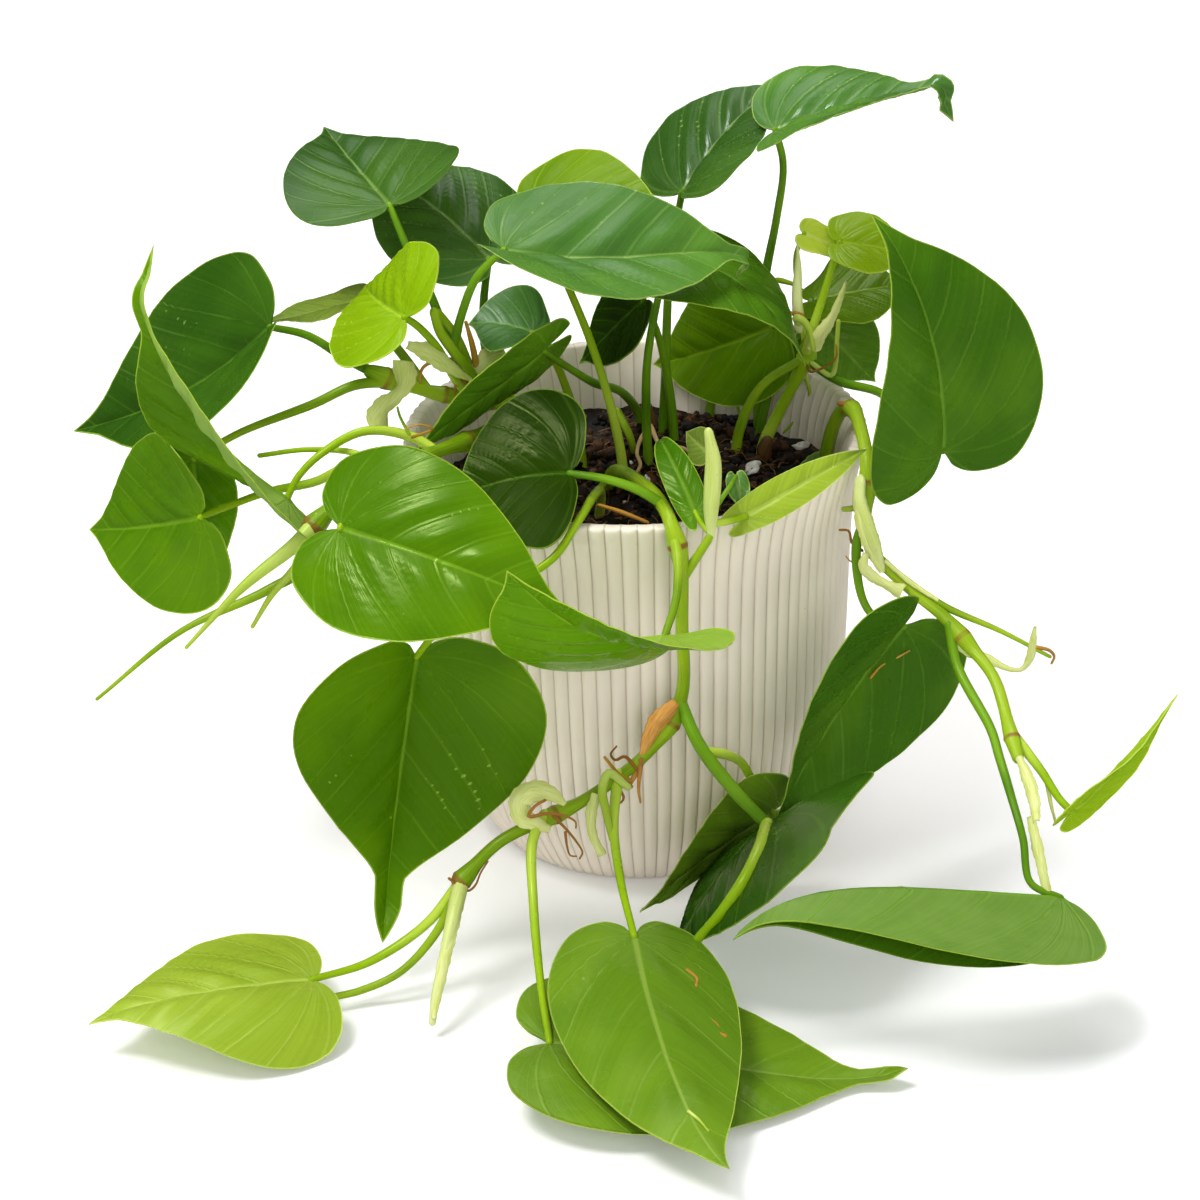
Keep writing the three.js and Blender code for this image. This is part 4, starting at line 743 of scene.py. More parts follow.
def spaced(line, step):
    """Points evenly spaced along a line, about step apart, and the line's length."""
    ends = np.concatenate([[0], np.cumsum(np.linalg.norm(np.diff(line, axis=0), axis=1))])
    count = max(4, round(ends[-1] / step))
    at = np.linspace(0, ends[-1], count + 1)
    return np.stack([np.interp(at, ends, line[:, k]) for k in range(3)], 1), ends[-1]


def unit(rows):
    return rows / np.maximum(np.linalg.norm(rows, axis=-1, keepdims=True), 1e-9)


def along_curve(points, t):
    """Points at shares t of a smooth curve through evenly timed points."""
    p = floats(points)
    last = len(p) - 1
    s = np.clip(t, 0, 1) * last
    i = np.minimum(np.floor(s).astype(int), last - 1)
    u = (s - i)[:, None]
    a, b, c, d = (p[np.clip(i + k, 0, last)] for k in (-1, 0, 1, 2))
    cubic = 2 * b + (c - a) * u + (2 * a - 5 * b + 4 * c - d) * u**2 + (3 * b - a - 3 * c + d) * u**3
    return 0.5 * cubic


def eased(values, share):
    """Goes smoothly through the values, as evenly spaced along the way."""
    return along_curve(np.reshape(values, (-1, 1)), share)[:, 0]


NO_NODE = 99.0  # mm to the nearest node where there is none
RIDGE, RIDGE_REACH = 0.3, 0.8  # height and half length of the ring at a node
WANDER = 0.04  # how much a stem's radius varies along it
LUMP = 0.03  # how far its section is from round
ROUND_END = ((0.95, 0.3), (0.6, 0.75))  # rings past an end: how far, and how wide, in radii


def tube(soup, points, radius, skin, swell=(), sides=14, step=1.4, flat=1.0):
    """A stem along a smooth line with rounded ends. radius lists its radii from foot to end, swell its
    nodes as in VINES, and flat squashes it."""
    line, length = spaced(spline(points), step)
    count = len(line)
    share = np.linspace(0, 1, count)
    tangent = unit(np.gradient(line, axis=0))
    side = unit(np.cross(tangent[0], (0.3, 0.5, 0.8)))
    sides_of = [side]
    for t in tangent[1:]:
        side = unit(side - t * (side @ t))
        sides_of.append(side)
    side = np.array(sides_of)
    other = np.cross(tangent, side)
    r = eased(radius, share)
    nearest = np.full(count, NO_NODE)
    for at, extra in swell:
        away = (share - at) * length
        r = r + extra * np.exp(-((away / NODE_REACH) ** 2))
        r = r + RIDGE * np.exp(-((away / RIDGE_REACH) ** 2))
        nearest = np.minimum(nearest, np.abs(away))
    phase = rng.uniform(0, 6, 3)
    waver = 1 + WANDER * np.sin(share * length / 7 + phase[0]) * np.sin(share * length / 17 + phase[1])
    r = r * waver
    angle = np.linspace(0, 2 * math.pi, sides, endpoint=False)
    lump = 1 + LUMP * np.sin(3 * angle + phase[2])
    foot = [(line[0] - tangent[0] * past * r[0], 0, r[0] * wide) for past, wide in ROUND_END]
    end = [(line[-1] + tangent[-1] * past * r[-1], count - 1, r[-1] * wide) for past, wide in ROUND_END]
    rings = foot + [(line[i], i, r[i]) for i in range(count)] + end[::-1]
    points, flat_map, edge_map = [], [], []
    for centre, i, size in rings:
        out = lump * size
        arm = np.outer(np.cos(angle) * out, side[i]) + np.outer(np.sin(angle) * out * flat, other[i])
        points.append(centre + arm)
        flat_map.append(np.stack([np.full(sides, share[i] * length), np.abs(angle - math.pi) * 2], 1))
        edge_map.append(np.tile((nearest[i], share[i]), (sides, 1)))
    ends = [line[0] - tangent[0] * r[0], line[-1] + tangent[-1] * r[-1]]
    total = len(rings) * sides
    index = np.arange(total).reshape(len(rings), sides)
    index = np.column_stack([index, index[:, :1]])
    index = np.vstack([np.full(sides + 1, total), index, np.full(sides + 1, total + 1)])
    faces = [face[::-1] for face in quads(index.tolist())]
    flat_map = np.vstack(flat_map + [[(0, 0)], [(length, 0)]])
    edge_map = np.vstack(edge_map + [[(nearest[0], 0)], [(nearest[-1], 1)]])
    soup.add(np.vstack(points + [ends]), faces, skin, flat=flat_map, edge=edge_map)


def turned(vectors, axis, angle):
    """Vectors turned about unit axes by angles."""
    c, s = np.cos(angle)[..., None], np.sin(angle)[..., None]
    along = (vectors * axis).sum(-1, keepdims=True)
    return vectors * c + np.cross(axis, vectors) * s + axis * along * (1 - c)


def sheet(soup, upper, lower, skins, maps, pointed=False):
    """Closes two grids of points, a thin body's upper and lower side, round their margin. skins names
    the material of the upper side's two halves and of the lower side. A pointed sheet's last row is one
    point on each side."""
    count, wide = upper.shape[:2]
    top = np.arange(count * wide).reshape(count, wide)
    if pointed:
        top[-1] = top[-1, 0]
    bottom = top + count * wide
    above = quads(top.tolist())
    below = [face[::-1] for face in quads(bottom.tolist())]
    loop = [*top[:, 0], *top[-1, 1:-1], *top[::-1, -1], *top[0, -2:0:-1]]
    loop = list(dict.fromkeys(loop))
    loop = np.array(loop + loop[:1])
    margin = [face[::-1] for face in quads([loop.tolist(), (loop + count * wide).tolist()])]
    used = np.zeros(2 * count * wide, bool)
    used[top], used[bottom] = True, True
    renumber = np.cumsum(used) - 1
    faces = [[int(renumber[k]) for k in face] for face in above + below + margin]
    words = [skins[0] if face[0] % wide < wide // 2 else skins[1] for face in above]
    words += [skins[2]] * len(below) + [skins[0]] * len(margin)
    double = {key: np.vstack([m.reshape(-1, 2)] * 2)[used] for key, m in maps.items()}
    soup.add(np.vstack([upper.reshape(-1, 3), lower.reshape(-1, 3)])[used], faces, words, **double)


STRIP_STEP, STRIP_COLUMNS = 1.0, 9
RAGGED = 0.12  # how much the width of a papery strip varies along it


def ribbon(soup, points, width, skin, turn, curl):
    """A papery strip along a smooth line. width lists its widths and turn how far it faces away from
    the front, both from foot to end. It is cupped by curl degrees each side, and its margin is ragged."""
    line, length = spaced(spline(points), STRIP_STEP)
    share = np.linspace(0, 1, len(line))
    tangent = unit(np.gradient(line, axis=0))
    front = floats(FACING)
    face = unit(front - tangent * (tangent @ front)[:, None])
    face = turned(face, tangent, np.radians(eased(turn, share)))
    side = np.cross(tangent, face)
    v = np.linspace(-1, 1, STRIP_COLUMNS)
    phase = rng.uniform(0, 6, 4)
    waves = np.sin(share * length * 0.9 + phase[0]) + np.sin(share * length * 1.9 + phase[1])
    other = np.sin(share * length * 0.8 + phase[2]) + np.sin(share * length * 2.1 + phase[3])
    half = np.maximum(eased(width, share), 0.2)[:, None] / 2
    half = half * (1 + RAGGED / 2 * np.where(v < 0, waves[:, None], other[:, None]))
    bend = math.radians(curl)
    across, rise = np.sin(bend * v) / bend * half, (np.cos(bend * v) - 1) / bend * half
    middle = line[:, None] + side[:, None] * across[..., None] + face[:, None] * rise[..., None]
    normal = face[:, None] * np.cos(bend * v)[:, None] + side[:, None] * np.sin(bend * v)[:, None]
    thick = 0.16 - 0.08 * np.abs(v)[:, None]
    from_margin = half * (1 - np.abs(v))
    along = np.repeat(share[:, None] * length, STRIP_COLUMNS, 1)
    maps = {
        "edge": np.stack([np.full_like(along, NO_NODE), from_margin], -1),
        "flat": np.stack([along, half * v], -1),
    }
    sheet(soup, middle + normal * thick, middle - normal * thick, [skin] * 3, maps)


# Blades

class Blade:
    """A blade bent in space, as in the part: arch, curl and sway bend its midrib, twist turns its tip,
    fold lifts each half and cup lowers its margin again. lobe scales the lobes behind the stalk's end,
    and slim narrows each half near it. tail says how long a drip tip is, how far it bends, how wide it
    is and how far it twists. relief lists how high the skin bulges and how far its margin waves, in mm."""

    # What holds where a leaf says nothing else
    PLAIN = dict(
        arch=20, curl=0, sway=0, twist=0, fold=(12, 12), cup=(12, 12), lobe=1,
        slim=(0, 0), tail=(1, 0, 0, 0), relief=(1.7, 1.2),
    )
    STEPS = 60

    def __init__(self, form):
        self.__dict__.update(self.PLAIN, **form)
        middles = (np.arange(self.STEPS) + 0.5) / self.STEPS
        steps = self.heading(middles) / self.STEPS
        self.midrib = np.vstack([np.zeros(3), np.cumsum(steps, axis=0)])
        chord = self.midrib[-1]
        x = unit(chord)
        y = unit(np.array((0, 1, 0)) - x * x[1])
        bend = np.array([x, y, np.cross(x, y)])
        span = floats(self.tip) - floats(self.base)
        self.length = np.linalg.norm(span) / np.linalg.norm(chord)
        along = unit(span)
        face = unit(floats(FACING) - along * (floats(FACING) @ along))
        face = turned(face, along, np.array(-math.radians(self.roll)))
        frame = np.array([along, np.cross(face, along), face]).T
        self.place = frame @ bend

    def past_tip(self, s):
        return np.clip((s - 1) / (TAIL_FOLD * self.tail[0]), 0, 1)

    def heading(self, s):
        curled = np.clip(s, 0, 1) ** 4
        bend = self.past_tip(s) * self.tail[1]
        dip = -np.radians(self.arch * s + self.curl * curled + bend)
        turn = np.radians(self.sway * s)
        return np.stack([np.cos(dip) * np.cos(turn), np.cos(dip) * np.sin(turn), np.sin(dip)], -1)

    def midrib_at(self, s):
        knots = np.linspace(0, 1, self.STEPS + 1)
        inside = np.stack([np.interp(s, knots, self.midrib[:, k]) for k in range(3)], -1)
        before = np.minimum(s, 0)[..., None] * self.heading(np.minimum(s, 0) / 2)
        after = np.maximum(s - 1, 0)[..., None] * self.heading((1 + np.maximum(s, 1)) / 2)
        return inside + before + after

    def points(self, x, y):
        """x along the midrib as a share of the length, y across as a share of the half width."""
        heading = self.heading(x)
        turn = np.radians(self.sway * x)
        side = np.stack([-np.sin(turn), np.cos(turn), np.zeros_like(turn)], -1)
        up = np.cross(heading, side)
        twist = np.radians(self.twist * x + self.past_tip(x) * self.tail[3])
        side, up = turned(side, heading, twist), turned(up, heading, twist)
        fold = np.radians(np.where(y >= 0, *self.fold))
        cup = np.radians(np.where(y >= 0, *self.cup))
        cup = np.where(cup == 0, 1e-3, cup)
        reach = self.width / 2 / self.length / cup
        bent = fold - cup * np.abs(y)
        across = reach * (np.sin(fold) - np.sin(bent)) * np.sign(y)
        rise = reach * (np.cos(bent) - np.cos(fold))
        local = self.midrib_at(x) + side * across[..., None] + up * rise[..., None]
        return floats(self.base) + local @ self.place.T * self.length


def vein_map(x, y, half, length, vary):
    """Which side vein a spot is on, counted from the one that leaves the stalk, and the mm between two."""
    lean, bow, fan = 0.84, 0.5, math.radians(30)
    forward = lean * y + bow * y * y / half
    slope = lean + 2 * bow * y / half
    ahead = (x - forward) / (VEIN_STEP * length * vary)
    angle = np.arctan2(y, x - bow * y * y / half)
    behind = -(angle - math.atan(1 / lean)) / fan
    label = np.where(x >= forward, ahead, behind)
    apart = VEIN_STEP * length / np.sqrt(1 + slope * slope)
    spacing = np.where(x >= forward, apart, np.hypot(x, y) * fan)
    return label, np.minimum(spacing, 2 * apart)


def blade_rows(blade, count):
    """For each row: where it leaves the midrib, and for either half where it meets the margin, and how far
    out that is."""
    t = np.linspace(SINUS, 1, count)[:, None]
    slim = np.array(blade.slim)
    edge, y = (column[:, None] for column in along_curve(HEART, t[:, 0]).T)
    root = np.clip((t - SINUS) / (1 - SINUS), 0, 1) ** VEIN_SPREAD
    edge = np.where(edge < 0, edge * blade.lobe * (1 - slim), edge)
    y = np.maximum(y * (1 - slim * (1 - t) ** 1.5), 0)
    reach, _, width, _ = blade.tail
    if width:
        y = np.where(t > TAIL_BLEND, np.maximum(y, width), y)
        past = np.linspace(0, 1, 14)[1:, None]
        beyond = 1 + past * reach
        root, edge = np.vstack([root, beyond]), np.vstack([edge, np.hstack([beyond, beyond])])
        y = np.vstack([y, np.repeat(width * (1 - past**1.5), 2, 1)])
    return root, edge, y


BLADE_ROWS, BLADE_COLUMNS = 44, 15
VEIN_WIDTH, RIB_WIDTH = 0.9, 1.0  # of the groove along a side vein, and of the midrib
VEIN_SINK, VEIN_RISE = 0.22, 0.25  # how deep a side vein is above, and how far it stands out below
RIB_SINK, RIB_RISE = 0.35, 0.65  # and the midrib
FULL_BULGE = 9  # side veins this far apart have the full bulge between them
CALM = 6  # mm from the midrib, and from the stalk, over which bulges and grooves grow


def blade_body(soup, form, skins):
    """The closed thin body of a blade, with sunk veins above, raised ones below and a waved margin. skins
    names the materials of the upper side's two halves and of the lower side."""
    blade = Blade(form)
    quilt, wave = blade.relief
    root, edge, out = blade_rows(blade, BLADE_ROWS)
    v = np.append(np.linspace(0, 1, BLADE_COLUMNS) ** 1.35 * 0.975, 1)  # denser beside the midrib
    v = np.concatenate([-v[:0:-1], v])
    across = np.abs(v)[None, :]
    side = (v < 0).astype(int)
    edge, out = edge[:, side], out[:, side]
    x = root + (edge - root) * across
    y = out * v
    half, length = blade.width / 2, blade.length
    vary = np.where(y < 0, rng.uniform(0.85, 1.2), rng.uniform(0.85, 1.2))
    label, spacing = vein_map(x * length, np.abs(y) * half, half, length, vary)
    beside = np.abs(y) * half
    # Sunk veins, bulges between them and waves along the margin
    nearest = np.abs(label - np.round(label)) * spacing
    faded = np.clip(1.2 - across, 0, 1) * np.clip(np.hypot(x * length, beside) / CALM, 0, 1)
    groove = np.exp(-((nearest / VEIN_WIDTH) ** 2)) * faded
    swell = np.clip(spacing / FULL_BULGE, 0, 1) * np.clip(beside / CALM, 0, 1) * faded
    bulge = quilt * np.sin(np.pi * (label - np.floor(label))) ** 2 * swell
    phase = rng.uniform(0, 2 * math.pi, 6)
    run = np.linspace(0, 1, len(root))[:, None]
    left = np.sin(17 * run + phase[0]) + np.sin(9 * run + phase[1])
    right = np.sin(15 * run + phase[2]) + np.sin(10 * run + phase[3])
    ends = np.clip(run * len(root) / 5, 0, 1) * np.clip((1 - run) * 4, 0, 1)
    margin = wave * across**3 * np.clip(out, 0.2, 1)
    shift = bulge + margin * 0.6 * np.where(v < 0, left, right) * ends
    rib = np.exp(-((beside / RIB_WIDTH) ** 2)) * np.clip(1.1 - x, 0, 1)
    middle = blade.points(x, y)
    normal = np.cross(np.gradient(middle, axis=0), np.gradient(middle, axis=1))
    normal[-1] = normal[-2]
    normal = unit(normal)
    normal[-1] = unit(normal[-1].mean(0))
    thick = SKIN + (THIN - SKIN) * across
    upper = middle + normal * (shift + thick - RIB_SINK * rib - VEIN_SINK * groove)[..., None]
    lower = middle + normal * (shift - thick - RIB_RISE * rib - VEIN_RISE * groove)[..., None]
    from_margin = (1 - across) * np.hypot((edge - root) * length, out * half)
    narrow = 1.3 * np.clip(1 - 0.75 * x, 0.2, 1)
    maps = {
        "vein": np.stack([label, spacing], -1),
        "edge": np.stack([beside / narrow, from_margin], -1),
        "flat": np.stack([x * length, y * half], -1),
    }
    sheet(soup, upper, lower, skins, maps, pointed=True)


STALK_RADIUS = (1.8, 1.2)
STALKS = dict(
    grey="dark", slate="dark", deep="dark", rich="dark", shade="dark", glow="dark", backlit="dark",
    mid="lime", leafy="lime", meadow="lime", dusk="lime", lime="lime", pale="lime", young="lime",
)
VINE_SKINS = dict(vine_left_back="lime", vine_back_right="lime")

MATERIALS = dict(
    green=stem_material("stem_green", "688e08", "9ab820", "8a5a2a"),
    dark=stem_material("stem_dark", "4c7c08", "76a41a", "7a4e26"),
    lime=stem_material("stem_lime", "96ae14", "bccc3e", "96702e"),
    pale=stem_material("stem_pale", "b0be44", "d0d880", "a87c3c"),
    bud=stem_material("bud", "bccb68", "dbe29c", "b39a58"),
    golden=stem_material("stem_golden", "b07c1c", "d4a448", "7a5018", 0.4),
    dry=stem_material("stem_dry", "b58a4c", "d2b080", "6e4220", 0.6),
    brown=stem_material("rootlet", "84501a", "b98434", "4a2810", 0.5),
    fibre=stem_material("fibre", "4a3018", "8a6238", "2a1a0e", 0.7),
    papery=sheath_material("sheath_pale", "c6d062", "dce29a", "b0a456"),
    ochre=sheath_material("sheath_dry", "bc7c26", "dca654", "7a4614", 0.6, dried=True),
    glaze=material("pot_glaze", pot_paint),
    peat=material("peat", peat_paint("120b06", "2e1f14", "6b4426")),
    bark=material("bark", peat_paint("2c190c", "5a3a20", "7c5230")),
    perlite=material("perlite", perlite_paint),
)
for look in LOOKS:
    MATERIALS[look] = blade_material("blade_" + look, look)
    MATERIALS["under_" + look] = blade_material("under_" + look, look, under=True)


def strand(skin, radius, *path, flat=1):
    """A string, root, bud or stub: its radii, from foot to end, its path, and how far it is squashed."""
    return tube, path, dict(skin=skin, radius=radius, flat=flat, sides=12, step=1)


def strip(skin, width, curl, *path, turn=(0, 0)):
    """A papery strip: its widths, from foot to end, the degrees by which each side is cupped, its path,
    and how many degrees it faces away from the front."""
    return ribbon, path, dict(skin=skin, width=width, curl=curl, turn=turn)


# Small things fused to a vine, leaf or sheath, or lying on the soil
DETAILS = {
    "vine_front": [
        strand(
            "bud", (1.4, 2.7, 3.1, 2.8, 1.7), (24, -87, 148), (24.3, -86, 158), (25, -84, 166),
            (25.3, -82, 174), (24, -80, 183), flat=0.7,
        ),
        strand(
            "brown", (1.1, 1.5, 1.2), (-12, -66, 151), (-5.5, -68, 149.5), (3, -70, 146.5), flat=0.5,
        ),
        strip(
            "papery", (2, 6, 8.5, 9, 8, 6, 3), 50, (-26, -109, 62), (-31, -110, 67),
            (-37.5, -111, 68.5), (-41.5, -111.5, 64.5), (-40, -112, 59), (-35.5, -112.5, 57),
            (-31, -113, 55), turn=(0, 20, -20),
        ),
        strand(
            "brown", (0.5, 0.6, 0.5, 0.3), (-32.5, -114, 66.5), (-36, -114.5, 64.5), (-38, -115, 61),
            (-32.5, -116, 62.5), (-27, -117, 62.5), (-22.5, -117.5, 60), (-22.5, -118, 58),
        ),
        strand(
            "brown", (0.6, 0.3), (-30, -111, 59), (-25, -118.5, 57), (-22.5, -119, 53.5),
            (-20.5, -119.5, 49.5), (-21.5, -120, 47.5),
        ),
        strand(
            "brown", (0.5, 0.25), (-26, -119, 57), (-25.5, -120, 52), (-24.5, -120.5, 49),
            (-22.5, -121, 49),
        ),
        strand(
            "brown", (0.5, 0.4, 0.3), (-65, -119, 40.5), (-62, -118.5, 37.5), (-59, -118, 35),
            (-56.5, -118, 37), (-54.5, -117.5, 41.5), (-52, -116, 45),
        ),
        strip(
            "papery", (3.5, 5.2, 5, 4.2, 2), 60, (-60.5, -118.5, 36), (-63.5, -129, 30.5),
            (-66.5, -139, 22.5), (-69, -148, 14), (-70.5, -153, 7),
        ),
        strand(
            "pale", (1.3, 1.5, 1.2), (-5, -98, 62), (-11.5, -102, 69.5), (-13.5, -104.5, 65),
            (-12.5, -108, 58.5), (-10.5, -112, 50),
        ),
    ],
    "soil": [
        strand(
            "dry", (0.9, 0.7, 0.6), (5.5, 40.5, 131), (2, 32, 130), (0.5, 22.5, 129),
            (1.5, 12.5, 128.5), (-2.5, 3, 127),
        ),
        strand(
            "dry", (0.9, 0.7, 0.6), (5.5, 40.5, 131), (9.5, 25.5, 130), (16.5, 23.5, 130),
            (20.5, 18.5, 129), (26.5, 14, 127),
        ),
        strand("green", (1.2, 1.4), (-0.5, 29.5, 126), (-2, 26.5, 134), (-6, 34, 140)),
        strand("green", (1.2, 1.4), (-12.5, -4, 128), (-9, -1.5, 131), (-4, 3, 129)),
        strand("fibre", (2.2, 2.6, 2), (6, 50, 124), (5, 49.5, 130), (4.5, 50, 134)),
        strand("fibre", (2.6, 2.8, 2.2), (45, 25, 124), (45, 23.5, 129), (46, 23, 132)),
        strip("grey", (3, 7, 6, 3), 30, (56, 6, 127), (62, 6, 131), (66.5, 6, 136)),
    ],
    "vine_left": [
        strand("lime", (0.6, 0.4), (-75, -50, 171), (-77.5, -55.5, 180), (-78, -60, 185.5)),
        strand(
            "golden", (0.55, 0.3), (-74, -50, 170), (-67, -57, 176), (-71, -62, 180), (-75, -66, 180.5),
        ),
    ],
    "vine_left_upper": [
        strand(
            "green", (1.9, 1.9, 1.7), (-53, -7, 167), (-55.5, -10, 175.5), (-61, -12.5, 185),
            (-65, -14.5, 193), (-66.5, -16, 200.5),
        ),
        strand(
            "green", (1.4, 1.2), (-56, -5, 177), (-59.5, -6, 187), (-63, -7, 193), (-65.5, -8, 197),
        ),
        strand(
            "brown", (0.8, 0.5), (-62, -14, 182), (-66.5, -18, 183), (-69.5, -18.5, 182.5),
            (-71.5, -19, 180.5), (-72, -20, 176.5),
        ),
        strand("golden", (1.2, 1.1, 0.6), (-53, -5, 172), (-54.5, -4, 182.5), (-56.5, -2, 190.5)),
        strand(
            "brown", (0.5, 0.5, 0.3), (-54, -9, 166), (-56.5, -10, 171), (-59.5, -11.5, 173.5),
            (-60.5, -12, 171.5), (-61, -14, 166.5),
        ),
    ],
    "vine_back_right": [
        strand(
            "pale", (1.3, 1.4, 1.2, 0.9), (58, 28, 174), (56.5, 22, 179), (58.5, 21, 178.5),
            (61, 19, 175.5), (62, 16, 169.5),
        ),
        strand(
            "pale", (0.9, 0.8), (62, 26, 160), (68.5, 22, 157), (70, 22.5, 162), (70.5, 23.5, 170),
            (71, 24, 176.5),
        ),
        strand("brown", (0.8, 0.6), (54.5, 27, 178.5), (57, 25.5, 179), (59, 26, 178)),
        strand(
            "brown", (0.5, 0.35), (60, 26, 159), (61.5, 20, 159.5), (66.5, 21, 161), (70, 21.5, 164),
            (70, 22, 168.5),
        ),
        strand("green", (0.5, 1.6, 2.4), (60, 36, 183), (56, 35, 186), (51.5, 34, 188), flat=0.4),
        strand(
            "lime", (0.8, 0.6, 0.4), (59, 34, 156), (60, 37, 150), (61.5, 39.5, 142), (58.5, 42, 134),
            (52.5, 43, 126),
        ),
        strand("lime", (0.8, 0.6, 0.5), (33.5, 50, 142), (36, 53, 134), (38, 52, 126)),
    ],
    "vine_right": [
        strand("brown", (0.9, 1, 0.8), (70, -4, 158), (73, -6.5, 158.6), (77, -8, 157.5)),
        strand("pale", (1.3, 0.9), (75.5, -36, 134), (73, -35, 133), (70, -34.5, 132.5)),
        strand(
            "brown", (0.55, 0.4), (76, -39, 119), (72.5, -39, 122), (71.5, -38, 126), (68.5, -37, 126),
        ),
        strand("golden", (0.4, 0.25), (76, -42, 116), (72, -40, 115.5), (70.5, -39, 117)),
        strip(
            "papery", (2.5, 4.5, 3.5, 6), 50, (77, -47, 122), (76, -49.5, 118), (80.5, -52.5, 114.5),
            (88.5, -57, 112),
        ),
        strip(
            "papery", (1.4, 1.8, 1.2), 40, (83, -50, 120.5), (91.5, -55, 114.5), (100.5, -60, 110),
        ),
        strip(
            "papery", (2, 4.8, 4, 2.7, 1.4, 3.1, 2.7, 1), 50, (103.5, -66, 102.5), (109, -69, 96.5),
            (117.5, -72, 93), (124, -74, 90.5), (128, -74.5, 91), (130.5, -76, 97), (131, -77.5, 103),
            (131.5, -79, 109),
        ),
        strand(
            "brown", (0.7, 0.6, 0.4), (131, -71, 97.5), (137, -73.5, 97), (138.5, -74, 95),
            (137.5, -75, 93),
        ),
        strip(
            "papery", (3, 4.5, 3.6, 4.5), 60, (127, -124, 62), (129, -133, 54), (130.5, -139, 47),
            (132, -143, 38),
        ),
        strip("papery", (1.6, 1.2, 0.8), 20, (133.5, -110, 67), (134.5, -113, 61), (136, -116, 55)),
    ],
    "leaf_low_underside": [
        strand(
            "lime", (2.1, 2.3, 2.3, 2.1, 1.6), (41, -107, 52), (37.8, -127.7, 54), (32.7, -138.3, 49),
            (25.6, -142.7, 40), (16.8, -141, 28),
        ),
    ],
    "leaf_hanging_right": [
        strand(
            "golden", (0.5, 0.35, 0.4, 0.3), (77.5, -65.6, 84.4), (81, -63.8, 87.6), (86, -61.4, 89.2),
            (91, -59, 90.8),
        ),
    ],
    "leaf_floor_centre": [
        strand("brown", (0.7, 0.5, 0.6), (13, -162.4, 29), (16, -165.3, 27.6), (15.7, -169.4, 27)),
        strand(
            "brown", (0.8, 0.6, 0.7), (19, -184, 23.8), (22.5, -186.8, 22), (21, -188.5, 21.6),
            (24.5, -190, 20.6),
        ),
        strand("pale", (0.6, 0.5, 0.3), (12, -230.9, 18.3), (15, -234.1, 17.3), (18, -239, 16)),
    ],
    "sheath_left_hood": [
        strip(
            "papery", (8, 10, 7, 6, 9, 10, 5), 55, (-77, -14, 182), (-77.5, -16, 178.5),
            (-78.5, -18.5, 174.5), (-81.5, -21, 171), (-85, -23.5, 167.5), (-88, -27, 162.5),
            turn=(-20, 30, -40, 10),
        ),
    ],
    "sheath_left_middle": [
        strip(
            "papery", (3, 7, 7.5, 5, 2), 60, (-75.5, -24, 192), (-69, -21, 188), (-62.5, -18, 182),
            (-55, -14, 174.5), turn=(10, -30),
        ),
    ],
    "sheath_left_back": [
        strip(
            "papery", (5, 9, 9.5, 3), 65, (-55.5, -8, 171.5), (-51.5, -6, 175), (-47.5, -3.5, 178),
            (-43.5, -2, 179), turn=(0, 20),
        ),
    ],
    "sheath_back_right": [
        strand(
            "bud", (2, 2.2, 1.9, 1.3, 0.4), (57.5, 27, 173), (57, 30, 184.5), (57.5, 33, 192.5),
            (57.5, 36, 200.5), flat=0.75,
        ),
    ],
    "sheath_back_right_low": [
        strip(
            "papery", (6, 6, 3.5, 2.7, 0.7), 60, (62.5, 18, 168), (64.5, 16.5, 174.5), (68, 15, 181),
            (70.5, 13.5, 188), (73, 12, 196.5), turn=(20, -20),
        ),
    ],
    "sheath_right_top": [
        strand(
            "bud", (2.9, 3.5, 4.1, 3.7, 2), (75.5, -36, 143), (75, -38.5, 137.5), (77, -41.5, 130.5),
            (79.5, -45, 123.5), (82, -48, 117), flat=0.55,
        ),
        strip(
            "papery", (3, 7.5, 8.5, 7, 3), 75, (76, -39, 141), (75.7, -41, 136), (77.3, -44, 129.5),
            (79.8, -47, 122.5), (82.3, -50, 116),
        ),
    ],
    "sheath_right_low": [
        strip(
            "papery", (3, 5.5, 4.8, 3), 70, (124, -110, 77), (126, -118, 74), (127.5, -126, 70),
            (127.5, -138, 68), turn=(0, 25),
        ),
    ],
    "sheath_front": [
        strip(
            "papery", (4, 4.4, 3.4, 3.6), 60, (-15.5, -103, 62.5), (-17.5, -106, 56.5),
            (-17, -109, 50), (-14, -112, 44),
        ),
    ],
    "sheath_front_dry": [
        strip(
            "ochre", (4, 7.5, 7, 4, 3, 1), 65, (11.5, -86, 87.5), (6, -87.5, 81.5), (2.5, -89.5, 75),
            (-0.5, -91.5, 68), (-5, -94, 59.5), turn=(15, -15, 10),
        ),
        strand("ochre", (0.9, 0.4), (-0.5, -92, 69), (-1.5, -94.5, 59), (-1, -95, 54.5)),
        strand(
            "brown", (0.7, 0.5, 0.3), (-2, -93, 66), (-6, -95, 72), (-9, -95.5, 71),
            (-10.5, -96, 73.5), (-8.5, -97, 77),
        ),
        strand(
            "golden", (0.8, 0.6, 0.5), (-4, -94, 62), (-8, -96, 66), (-10, -97.5, 69.5),
            (-12.5, -99, 74),
        ),
        strand(
            "brown", (0.7, 0.5, 0.3), (-4, -94, 60), (-8, -98, 62), (-6.5, -98.5, 58.5),
            (-7.5, -98.5, 56.5), (-10, -99, 55.5),
        ),
    ],
}


def add_details(soup, name):
    for shape, path, form in DETAILS.get(name, []):
        shape(soup, path, **form)


